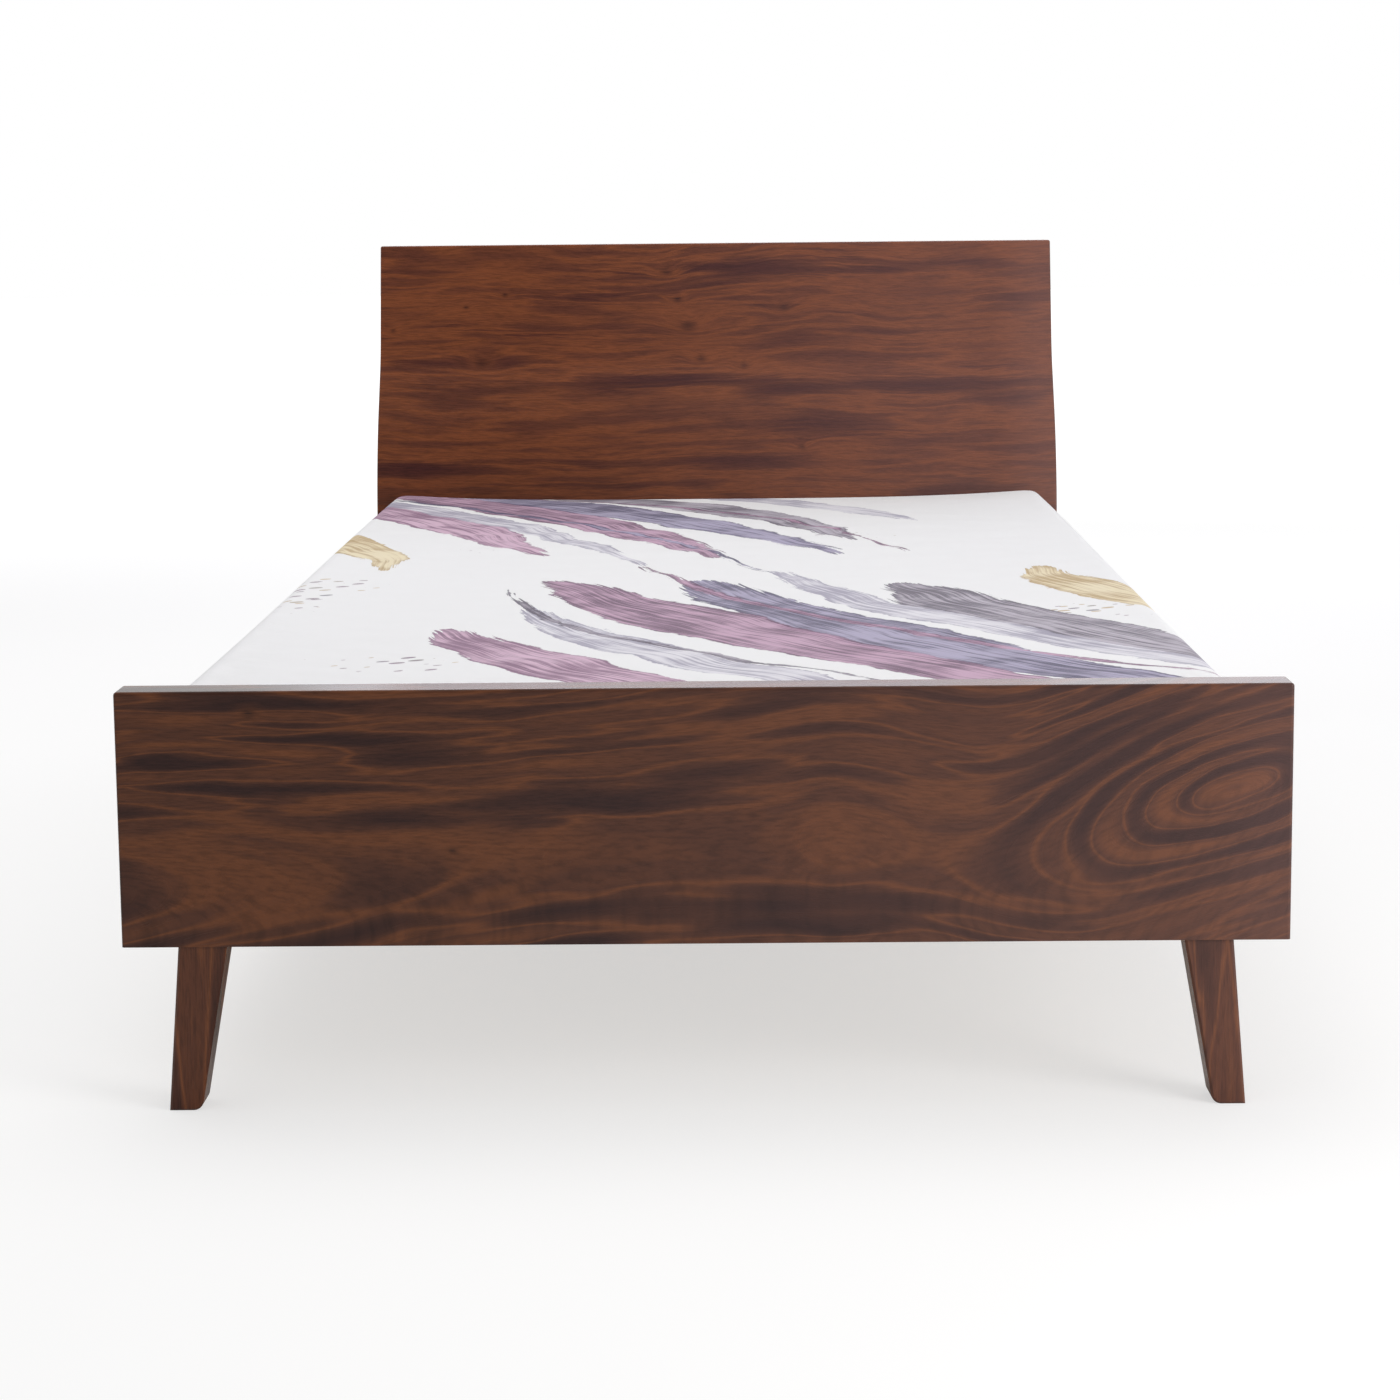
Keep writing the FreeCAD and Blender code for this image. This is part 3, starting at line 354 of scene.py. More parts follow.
@dataclass(frozen=True)
class Pith:
    """Heart of the log, which wanders behind a board's face.

    Its course is a row of places: along the board, height on the board and depth behind the face.
    """

    face: float
    course: tuple[tuple[float, float, float], ...]

    def distance(self, wiring: Wiring, along: Socket, across: Socket, deep: Socket) -> Socket:
        """Distance from the pith, which is how old the wood is there.

        Args:
            wiring: The tree.
            along: Place along the grain.
            across: Place across the board.
            deep: Place through the board.

        Returns:
            The distance in metres.
        """
        course = np.array(self.course)
        span = course[-1, 0] - course[0, 0]
        share = wiring.line(along, 1.0 / span, -course[0, 0] / span)
        shares = (course[:, 0] - course[0, 0]) / span
        rise = wiring.less(across, wiring.curve(share, np.stack((shares, course[:, 1]), axis=1)))
        depth = wiring.curve(share, np.stack((shares, course[:, 2]), axis=1))
        behind = wiring.total(wiring.less(deep, self.face), depth)
        square = wiring.line(rise, rise, wiring.times(behind, behind))
        return wiring.math("SQRT", square)


@dataclass(frozen=True)
class Board:
    """Where a point lies in a board, as outputs of its material's tree.

    Shifted is the place along the grain, moved at each seam, so that every stave has its own figure.
    """

    wiring: Wiring
    along: Socket
    across: Socket
    deep: Socket
    shifted: Socket
    age: Socket

    def noise(self, fineness: tuple, detail: float = 2.0, rough: float = 0.5, aged: bool = True) -> Socket:
        """Noise drawn out along the grain, which follows the wood's age or else the place across."""
        places = (self.shifted, self.deep, self.age if aged else self.across)
        return self.wiring.noise(self.wiring.stretched(places, fineness), 1.0, detail, rough)

    def bell(self, spot: Spot, across: Socket | None = None) -> Socket:
        """Bell round a spot, at the plain or at another place across."""
        return spot.bell(self.wiring, self.along, across or self.across)


@dataclass(frozen=True)
class Figure:
    """How fine the noises of a board's figure are, along the grain, through it, and by age or across."""

    slow: tuple = (2.4, 1.0, 5.0)
    quick: tuple = (9.0, 1.0, 26.0)
    cloud: tuple = (3.0, 1.0, 7.0)
    wander: tuple = (2.0, 1.0, 12.0)
    smudge: tuple = (4.5, 1.0, 19.0)
    streak: tuple = (7.0, 1.0, 260.0)
    crowd: tuple = (2.6, 1.0, 24.0)
    thin: tuple = (11.0, 1.0, 210.0)
    fibre: tuple = (60.0, 300.0, 250.0)
    fibre_age: float = 450.0


@dataclass(frozen=True)
class StainedTimber:
    """Dark stained, lacquered hardwood with wavy figure.

    The age of the wood at a place is its distance from the pith, or, in a board that is cut far from
    it, the place across the board plus a share of its depth, with slow waves added. Broad bands,
    rings, smudges, streaks and pores are noise and sines read along the grain and that age. Short
    dark lines crowd in some places, and round a knot the stain is darker.
    """

    name: str
    grain: Grain
    shadow: tuple
    body: tuple
    glow: tuple
    pith: Pith | None = None
    band_count: float = 58.0
    band_run: float = 5.5
    ring_width: float = 0.0165
    ring_share: float = 0.05
    wave: float = 0.022
    contrast: float = 1.0
    least: float = 0.40
    most: float = 1.08
    blotch: float = 0.0
    glow_share: float = 0.8
    detail: float = 1.0
    hair: float = 0.07
    lines: float = 0.0
    # Strength of the painted haze: pale light painted over the stain towards +X
    painted_haze: float = 0.0
    seed: float = 0.0
    knots: tuple[Knot, ...] = ()
    rings: tuple[Spot, ...] = ()
    calm: tuple[Spot, ...] = ()
    shades: tuple[Spot, ...] = ()
    seams: tuple[tuple[float, float], ...] = ()
    seam_half_width: float = 0.0004
    seam_shift: float = 1.7
    figure: Figure = Figure()

    def age(self, wiring: Wiring, along: Socket, across: Socket, deep: Socket) -> Socket:
        """Age of the wood, as a length.

        Args:
            wiring: The tree.
            along: Place along the grain.
            across: Place across the board.
            deep: Place through the board.

        Returns:
            The age in metres.
        """
        places = (along, deep, across)
        slow = wiring.noise(wiring.stretched(places, self.figure.slow), 1.0, 1.0)
        quick = wiring.noise(wiring.stretched(places, self.figure.quick), 1.0, 2.0)
        waves = wiring.line(slow, 2.0 * self.wave, -self.wave)
        ripples = wiring.line(quick, 0.5 * self.wave, -0.25 * self.wave)
        wavy = wiring.total(across, waves, ripples)
        if self.pith:
            return self.pith.distance(wiring, along, wavy, deep)
        for knot in self.knots:
            swell = knot.spot(3.5, 1.6).bell(wiring, along, across)
            wavy = wiring.line(swell, 1.6 * knot.size, wavy)
        return wiring.line(deep, 0.3, wavy)

    def material(self) -> bpy.types.Material:
        """Make the material.

        Returns:
            The material.
        """
        material, wiring, shader = new_material(self.name)
        parts = wiring.split(place_of(wiring))
        along, across, deep = (parts[index] for index in self.grain.value)
        shifted = wiring.total(along, self.seed)
        tint: Term = 1.0
        for height, share in self.seams:
            above = wiring.spread(across, height - self.seam_half_width, height + self.seam_half_width)
            shifted = wiring.line(above, self.seam_shift, shifted)
            tint = wiring.line(above, share, tint)
        board = Board(wiring, along, across, deep, shifted, self.age(wiring, along, across, deep))
        streak = board.noise(self.figure.streak, 3.0, 0.6)
        stretch = self.figure.fibre
        aged = wiring.line(across, stretch[2], wiring.times(board.age, self.figure.fibre_age))
        fibre = wiring.noise(
            wiring.join(wiring.times(along, stretch[0]), wiring.times(deep, stretch[1]), aged), 1.0, 2.0, 0.6
        )
        rough = wiring.line(streak, 0.02, across)
        stain = self.stain(wiring, self.shade(board, streak, rough))
        if self.lines:
            stain = self.lined(board, stain, rough)
        stain = self.knotted(board, stain, streak)
        pores = wiring.times(wiring.spread(fibre, 0.30, 0.62, 0.78, 1.12), tint)
        stain = wiring.mix(1.0, stain, wiring.join(pores, pores, pores), "MULTIPLY")
        # Painted haze: pale light painted over the stain, rising towards +X and stronger at the far right
        # end, in place of the soft light from that side
        if self.painted_haze:
            edge = wiring.spread(parts[0], 0.40, 0.50)
            painted_haze_share = wiring.line(edge, 0.5 * self.painted_haze, wiring.spread(parts[0], -0.35, 0.5, 0.0, self.painted_haze))
            stain = wiring.mix(painted_haze_share, stain, PAINTED_HAZE_COLOUR)
        wiring.feed(shader.inputs["Base Color"], stain)
        wiring.feed(shader.inputs["Roughness"], wiring.line(streak, 0.14, 0.20))
        relief = wiring.line(fibre, 0.6, wiring.times(streak, 0.4))
        wiring.feed(shader.inputs["Normal"], wiring.bump(relief, 0.14, 0.0003))
        shader.inputs["Specular IOR Level"].default_value = 0.24
        return material

    def shade(self, board: Board, streak: Socket, rough: Socket) -> Socket:
        """How light the stain is: bands and rings, stronger in some places, with smudges and streaks.

        Args:
            board: Where the point lies.
            streak: Fine noise along the grain.
            rough: Place across the board, roughened by it.

        Returns:
            The place on the ramp from dark to light.
        """
        wiring = board.wiring
        bands = wiring.join(
            wiring.times(board.shifted, self.band_run),
            wiring.line(board.deep, 3.0, wiring.times(board.across, 7.0 if self.pith else 0.0)),
            wiring.times(board.age, self.band_count),
        )
        band = wiring.noise(bands, 1.0, self.detail, 0.5)
        wander = wiring.times(board.noise(self.figure.wander, 1.0), 8.0 if self.pith else 16.0)
        turns = wiring.line(board.age, 2.0 * math.pi / self.ring_width, wander)
        ring_share: Term = self.ring_share
        for spot in self.rings:
            ring_share = wiring.line(board.bell(spot), spot.share, ring_share)
        swing = wiring.total(wiring.less(band, 0.5), wiring.times(wiring.sine(turns), ring_share))
        cloud = board.noise(self.figure.cloud, aged=False)
        strength = wiring.spread(cloud, 0.34, 0.60, self.least * self.contrast, self.most * self.contrast)
        for spot in self.calm:
            strength = wiring.times(strength, wiring.line(board.bell(spot), -spot.share, 1.0))
        hair = wiring.line(streak, self.hair, -0.5 * self.hair)
        place = wiring.total(wiring.line(swing, strength, 0.5), hair)
        if self.blotch:
            smudge = wiring.less(board.noise(self.figure.smudge, 2.0, 0.6), 0.5)
            place = wiring.line(smudge, self.blotch, place)
        for spot in self.shades:
            place = wiring.line(board.bell(spot, rough), -spot.share, place)
        return place

    def stain(self, wiring: Wiring, place: Socket) -> Socket:
        """Colour of the stain: dark bands whose edges glow.

        Args:
            wiring: The tree.
            place: Place on the ramp from dark to light.

        Returns:
            The colour output.
        """
        dusk = blend(self.shadow, self.body, 0.45)
        edge = blend(self.body, self.glow, self.glow_share)
        warm = blend(self.body, self.glow, 0.40)
        places = (0.34, 0.43, 0.475, 0.505, 0.545, 0.66, 0.72)
        colours = (self.shadow, dusk, self.body, edge, self.body, warm, edge)
        return wiring.ramp(place, list(zip(places, colours)))

    def lined(self, board: Board, stain: Socket, rough: Socket) -> Socket:
        """Draw short dark lines where they crowd: where a slow noise is high, and at the shades.

        Args:
            board: Where the point lies.
            stain: The colour without them.
            rough: Place across the board, roughened.

        Returns:
            The colour with them.
        """
        wiring = board.wiring
        crowd = board.noise(self.figure.crowd, 1.0)
        for spot in self.shades:
            crowd = wiring.line(board.bell(spot, rough), 2.0 * spot.share, crowd)
        dark = wiring.spread(board.noise(self.figure.thin, 3.0, 0.55), 0.50, 0.60)
        dark = wiring.times(dark, wiring.spread(crowd, 0.56, 0.74))
        return wiring.mix(wiring.times(dark, self.lines), stain, self.shadow)

    def knotted(self, board: Board, stain: Socket, streak: Socket) -> Socket:
        """Darken the knots, each inside a warm ring.

        Args:
            board: Where the point lies.
            stain: The colour without them.
            streak: Fine noise that roughens their edges.

        Returns:
            The colour with them.
        """
        wiring = board.wiring
        black = blend(self.shadow, (0.0, 0.0, 0.0, 1.0), 0.5)
        solid = wiring.spread(streak, 0.30, 0.62, 1.0, 0.55) if self.knots else None
        for knot in self.knots:
            rough = wiring.total(board.across, wiring.line(streak, 1.8 * knot.size, -0.9 * knot.size))
            halo = board.bell(knot.spot(2.4, 1.3), rough)
            stain = wiring.mix(wiring.times(halo, 0.55), stain, self.glow)
            heart = board.bell(knot.spot(1.2, 0.75), rough)
            stain = wiring.mix(wiring.times(heart, solid), stain, black)
        return stain


# Tones of planed softwood, from late growth to early
PALE_TONES = (tone(196, 158, 110), tone(221, 189, 143), tone(206, 168, 120), tone(232, 205, 163))


@dataclass(frozen=True)
class PaleTimber:
    """Planed softwood, unfinished, with straight growth lines."""

    name: str
    grain: Grain
    line_fineness: tuple = (1.4, 60.0, 60.0)
    fibre_fineness: tuple = (40.0, 1200.0, 1200.0)

    def material(self) -> bpy.types.Material:
        """Make the material.

        Returns:
            The material.
        """
        material, wiring, shader = new_material(self.name)
        parts = wiring.split(place_of(wiring))
        along, across, deep = (parts[index] for index in self.grain.value)
        line = wiring.noise(wiring.stretched((along, across, deep), self.line_fineness), 1.0, 3.0, 0.55)
        fibre = wiring.noise(wiring.stretched((along, across, deep), self.fibre_fineness), 1.0, 2.0)
        place = wiring.line(fibre, 0.12, wiring.less(line, 0.06))
        colour = wiring.ramp(place, list(zip((0.35, 0.50, 0.56, 0.68), PALE_TONES)))
        wiring.feed(shader.inputs["Base Color"], colour)
        wiring.feed(shader.inputs["Roughness"], wiring.line(fibre, 0.2, 0.5))
        wiring.feed(shader.inputs["Normal"], wiring.bump(fibre, 0.3, 0.0004))
        return material


@dataclass(frozen=True)
class BrightMetal:
    """Plated or turned metal with fine scratches and a cloudy plating."""

    name: str
    colour: tuple
    dull: float

    def material(self) -> bpy.types.Material:
        """Make the material.

        Returns:
            The material.
        """
        material, wiring, shader = new_material(self.name)
        place = place_of(wiring)
        cloud = wiring.noise(place, 130.0, 3.0, 0.6)
        x, y, z = wiring.split(place)
        brushed = wiring.join(wiring.times(x, 3000.0), wiring.times(y, 3000.0), z)
        scratch = wiring.noise(brushed, 1.0, 2.0)
        dark = tuple(0.72 * part for part in self.colour[:3]) + (1.0,)
        plating = wiring.mix(wiring.spread(cloud, 0.35, 0.65), dark, self.colour)
        wiring.feed(shader.inputs["Base Color"], plating)
        wiring.feed(shader.inputs["Roughness"], wiring.line(cloud, 0.25, self.dull))
        wiring.feed(shader.inputs["Normal"], wiring.bump(scratch, 0.15, 0.0001))
        shader.inputs["Metallic"].default_value = 1.0
        return material


@dataclass(frozen=True)
class WovenTape:
    """Cotton webbing, woven in a close basket weave."""

    name: str = "woven_tape"
    thread_turns: float = 3600.0

    def material(self) -> bpy.types.Material:
        """Make the material.

        Returns:
            The material.
        """
        material, wiring, shader = new_material(self.name)
        x, y, _ = wiring.split(place_of(wiring))
        warp, weft = (wiring.sine(wiring.times(term, self.thread_turns)) for term in (x, y))
        weave = wiring.line(wiring.times(warp, weft), 0.5, 0.5)
        # Painted shade: the colour is darker in the sunken cells of the weave, where its relief is low
        wiring.feed(shader.inputs["Base Color"], wiring.mix(weave, tone(196, 190, 176), tone(228, 224, 212)))
        wiring.feed(shader.inputs["Normal"], wiring.bump(weave, 0.5, 0.0004))
        shader.inputs["Roughness"].default_value = 0.85
        return material


@dataclass(frozen=True)
class Ticking:
    """Knitted mattress cover with a fine raised diamond."""

    name: str = "mattress_ticking"
    diamond_turns: float = 220.0
    knit_fineness: float = 900.0

    def material(self) -> bpy.types.Material:
        """Make the material.

        Returns:
            The material.
        """
        material, wiring, shader = new_material(self.name)
        place = place_of(wiring)
        x, y, _ = wiring.split(place)
        ways = (wiring.total(x, y), wiring.less(x, y))
        waves = (wiring.sine(wiring.times(way, self.diamond_turns)) for way in ways)
        one, other = (wiring.math("ABSOLUTE", wave) for wave in waves)
        quilt_relief_and_shade = wiring.times(one, other)
        knit = wiring.noise(place, self.knit_fineness, 2.0)
        relief = wiring.line(knit, 0.25, quilt_relief_and_shade)
        # Painted shade: the colour is darker where the quilted relief is low, in the sunken lines of the
        # diamond
        wiring.feed(shader.inputs["Base Color"], wiring.mix(quilt_relief_and_shade, tone(214, 213, 210), tone(236, 235, 232)))
        wiring.feed(shader.inputs["Normal"], wiring.bump(relief, 0.5, 0.001))
        shader.inputs["Roughness"].default_value = 0.9
        shader.inputs["Sheen Weight"].default_value = 0.2
        return material


@dataclass(frozen=True)
class Stroke:
    """One wide brush stroke of the print, placed on the flat cloth."""

    across: float
    along: float
    turn: float
    half_length: float
    half_width: float
    bend: float
    pale: tuple
    deep: tuple


# Colour pairs of the print, washed out and full
PLUM = (tone(196, 156, 184), tone(98, 56, 92))
ROSE = (tone(214, 178, 202), tone(124, 78, 114))
VIOLET = (tone(170, 162, 192), tone(66, 58, 96))
GREY = (tone(186, 178, 192), tone(84, 74, 94))
MIST = (tone(230, 228, 236), tone(160, 155, 176))
OCHRE = (tone(238, 224, 190), tone(186, 156, 104))


@dataclass(frozen=True)
class PrintedCotton:
    """White cotton with brush strokes printed in washes of plum, rose, violet, grey and ochre.

    A stroke is the place where its half width, drawn in towards both ends, is more than the distance
    from its bent middle line. Noise frays its edge, bristle lines part its ends, and its pigment
    gathers in streaks along it and at its rim.
    """

    name: str
    strokes: tuple[Stroke, ...]
    thread_turns: float = 9000.0

    @staticmethod
    def brush() -> bpy.types.NodeTree:
        """Make the group that works out one stroke.

        Returns:
            The group, which gives the stroke's cover and how deep its colour is.
        """
        group = bpy.data.node_groups.new("brush_stroke", "ShaderNodeTree")
        numbers = ("Wander", "Fray", "Wash", "Across", "Along", "Cosine", "Sine")
        numbers += ("Half Length", "Half Width", "Bend")
        group.interface.new_socket("Cloth", in_out="INPUT", socket_type="NodeSocketVector")
        for way, names in (("INPUT", numbers), ("OUTPUT", ("Cover", "Depth"))):
            for name in names:
                group.interface.new_socket(name, in_out=way, socket_type="NodeSocketFloat")
        wiring = Wiring(group)
        given = wiring.add("NodeGroupInput").outputs
        u, v, _ = wiring.split(given["Cloth"])
        x = wiring.less(u, given["Across"])
        y = wiring.less(v, given["Along"])
        run = wiring.line(x, given["Cosine"], wiring.times(y, given["Sine"]))
        side = wiring.less(wiring.times(y, given["Cosine"]), wiring.times(x, given["Sine"]))
        share = wiring.math("DIVIDE", run, given["Half Length"])
        square = wiring.times(share, share)
        side = wiring.total(side, wiring.times(square, given["Bend"]), given["Wander"])
        lines = wiring.stretched((run, side, given["Along"]), (6.0, 210.0, 1.0))
        bristle = wiring.noise(lines, 1.0, 3.0, 0.65)
        taper = wiring.math("POWER", wiring.math("MAXIMUM", wiring.less(1.0, square), 0.0), 0.6)
        lead = wiring.line(share, 0.35, 1.0)
        reach = wiring.times(wiring.times(taper, lead), given["Half Width"])
        gap = wiring.less(reach, wiring.math("ABSOLUTE", side))
        parted = wiring.times(wiring.less(bristle, 0.5), wiring.line(square, 0.05, 0.006))
        gap = wiring.total(gap, given["Fray"], parted)
        inside = wiring.math("LESS_THAN", square, 1.0)
        cover = wiring.times(wiring.spread(gap, 0.0, 0.0025), inside)
        rim = wiring.spread(gap, 0.001, 0.006, 1.0, 0.0)
        depth = wiring.total(
            wiring.line(bristle, 3.4, -1.75),
            wiring.line(given["Wash"], 2.2, -0.60),
            wiring.times(rim, 0.45),
            wiring.times(share, 0.18),
        )
        out = wiring.add("NodeGroupOutput")
        wiring.feed(out.inputs["Cover"], cover)
        wiring.feed(out.inputs["Depth"], depth)
        return group

    def dabs(self, wiring: Wiring, cloth: Socket, colour: Socket) -> Socket:
        """Scatter small dabs over the cloth, thickest where a slow noise is high.

        Args:
            wiring: The material's tree.
            cloth: Place on the flat cloth.
            colour: The colour under the dabs.

        Returns:
            The colour with the dabs.
        """
        u, v, _ = wiring.split(cloth)
        turned = wiring.join(
            wiring.total(wiring.times(u, 30.0), wiring.times(v, 22.0)),
            wiring.less(wiring.times(v, 62.0), wiring.times(u, 48.0)),
            0.0,
        )
        cells = wiring.add("ShaderNodeTexVoronoi", {"Vector": turned, "Scale": 1.0}, voronoi_dimensions="2D")
        pick, tint, _ = wiring.split(cells.outputs["Color"])
        crowd = wiring.noise(wiring.join(u, v, 3.7), 3.2, 1.0)
        size = wiring.times(wiring.spread(crowd, 0.64, 0.74, 0.0, 0.34), wiring.spread(pick, 0.5, 0.85))
        cover = wiring.spread(wiring.less(size, cells.outputs["Distance"]), 0.0, 0.05)
        paint = wiring.ramp(tint, [(0.0, PLUM[1]), (0.35, ROSE[1]), (0.6, GREY[1]), (0.85, OCHRE[1])])
        return wiring.mix(wiring.times(cover, 0.8), colour, paint)

    def material(self) -> bpy.types.Material:
        """Make the material.

        Returns:
            The material.
        """
        material, wiring, shader = new_material(self.name)
        cloth = wiring.add("ShaderNodeUVMap", uv_map="cloth").outputs[0]
        group = self.brush()
        fine = wiring.noise(cloth, 150.0, 2.0, 0.6)
        coarse = wiring.noise(cloth, 26.0, 2.0, 0.5)
        shared = {
            "Cloth": cloth,
            "Wander": wiring.line(wiring.noise(cloth, 4.5, 1.0), 0.06, -0.03),
            "Fray": wiring.total(wiring.line(fine, 0.006, -0.003), wiring.line(coarse, 0.018, -0.009)),
            "Wash": wiring.noise(cloth, 10.0, 3.0, 0.6),
        }
        colour = self.dabs(wiring, cloth, wiring.mix(coarse, tone(243, 243, 245), tone(246, 246, 248)))
        for stroke in self.strokes:
            turn = math.radians(stroke.turn)
            made = wiring.add("ShaderNodeGroup", node_tree=group)
            feeds = shared | {
                "Across": stroke.across,
                "Along": stroke.along,
                "Cosine": math.cos(turn),
                "Sine": math.sin(turn),
                "Half Length": stroke.half_length,
                "Half Width": stroke.half_width,
                "Bend": stroke.bend,
            }
            for name, term in feeds.items():
                wiring.feed(made.inputs[name], term)
            depth = wiring.spread(made.outputs["Depth"], 0.0, 1.0)
            paint = wiring.mix(depth, stroke.pale, stroke.deep)
            colour = wiring.mix(wiring.times(made.outputs["Cover"], 0.95), colour, paint)
        u, v, _ = wiring.split(cloth)
        warp, weft = (wiring.sine(wiring.times(term, self.thread_turns)) for term in (u, v))
        weave = wiring.times(warp, weft)
        slanted = wiring.join(wiring.total(u, v), wiring.times(v, 0.4), 0.0)
        crease = wiring.noise(slanted, 30.0, 4.0, 0.55)
        relief = wiring.line(weave, 0.03, crease)
        wiring.feed(shader.inputs["Base Color"], colour)
        wiring.feed(shader.inputs["Normal"], wiring.bump(relief, 0.30, 0.004))
        shader.inputs["Roughness"].default_value = 0.8
        shader.inputs["Sheen Weight"].default_value = 0.15
        shader.inputs["Specular IOR Level"].default_value = 0.3
        return material


def new_piece(name: str, mesh: Mesh, material: bpy.types.Material, body: str) -> bpy.types.Object:
    """Put a mesh into the scene as a piece of the bed.

    Args:
        name: The piece's name.
        mesh: Its points, its faces and, where they are known exactly, its normals.
        material: Its finish.
        body: The body that it moves with.

    Returns:
        The piece.
    """
    points, faces, normals = mesh
    data = bpy.data.meshes.new(name)
    data.from_pydata(points, [], faces)
    data.materials.append(material)
    data.polygons.foreach_set("use_smooth", np.ones(len(data.polygons), bool))
    if normals is not None:
        data.normals_split_custom_set_from_vertices(normals)
    data.update()
    piece = bpy.data.objects.new(name, data)
    bpy.context.scene.collection.objects.link(piece)
    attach(piece, body)
    log.info("%s: %d faces", name, len(data.polygons))
    return piece


def rounded_outline(corners: np.ndarray, radii: np.ndarray, step: float) -> tuple[np.ndarray, np.ndarray]:
    """Closed outline of straight runs joined by tangent arcs.

    Each arc starts a radius times the tangent of half the turn before its corner, and its centre lies a
    radius to the left of the run for a left turn and to the right for a right turn.

    Args:
        corners: Corners, anticlockwise.
        radii: Radius at each corner.
        step: Most degrees between two points of an arc.

    Returns:
        The points, and their outward normals.
    """
    runs = np.roll(corners, -1, axis=0) - corners
    ahead = runs / np.linalg.norm(runs, axis=1, keepdims=True)
    behind = np.roll(ahead, 1, axis=0)
    crossed = behind[:, 0] * ahead[:, 1] - behind[:, 1] * ahead[:, 0]
    turns = np.arctan2(crossed, (behind * ahead).sum(axis=1))
    points, normals = [], []
    for corner, radius, turn, way in zip(corners, radii, turns, behind):
        count = max(2, math.ceil(abs(math.degrees(turn)) / step) + 1)
        swing = np.linspace(0.0, turn, count)
        start = corner - way * radius * math.tan(abs(turn) / 2)
        first = np.array((way[1], -way[0]))
        cosine, sine = np.cos(swing), np.sin(swing)
        spokes = np.stack((first[0] * cosine - first[1] * sine, first[0] * sine + first[1] * cosine), axis=1)
        side = math.copysign(1.0, turn)
        points.append(start - side * radius * first + side * radius * spokes)
        normals.append(spokes)
    return np.concatenate(points), np.concatenate(normals)


def tube_faces(ring_count: int, count: int) -> list:
    """Faces of a closed tube: four points of neighbouring rings for each wall cell, and two end caps.

    Args:
        ring_count: Number of rings.
        count: Number of points in each.

    Returns:
        The point numbers of each face.
    """
    row, column = np.meshgrid(np.arange(ring_count - 1), np.arange(count), indexing="ij")
    here, beside = row * count + column, row * count + (column + 1) % count
    quads = np.stack((here, here + count, beside + count, beside), axis=-1).reshape(-1, 4)
    last = (ring_count - 1) * count
    return quads.tolist() + [list(range(count)), list(range(last, last + count))[::-1]]


def eased_prism(outline: tuple[np.ndarray, np.ndarray], half_depth: float, easing: float) -> Mesh:
    """Solid of an outline in the YZ plane, carried along X, with both rims rolled over.

    At the roll angle a a ring lies at plus or minus the half depth less the easing times one minus the
    sine of a, and its points are drawn in along their normals by the easing times one minus the cosine.

    Args:
        outline: Points of the outline and their normals.
        half_depth: Half of its length along X.
        easing: Radius of the rolled rims.

    Returns:
        The mesh.
    """
    points, normals = outline
    roll = np.radians(np.linspace(0.0, 90.0, 6))
    angle = np.concatenate((-roll[::-1], roll))
    inset = easing * (1.0 - np.cos(angle))
    away = np.sign(np.arange(len(angle)) - len(roll) + 0.5) * (half_depth - easing) + easing * np.sin(angle)
    flat = points[None, :, :] - normals[None, :, :] * inset[:, None, None]
    shape = flat.shape[:2] + (1,)
    rings = np.concatenate((np.broadcast_to(away[:, None, None], shape), flat), axis=2)
    leaning, facing = np.sin(angle)[:, None, None], normals[None, :, :] * np.cos(angle)[:, None, None]
    slope = np.concatenate((np.broadcast_to(leaning, shape), facing), axis=2)
    faces = [face[::-1] for face in tube_faces(*flat.shape[:2])]
    return rings.reshape(-1, 3), faces, slope.reshape(-1, 3)


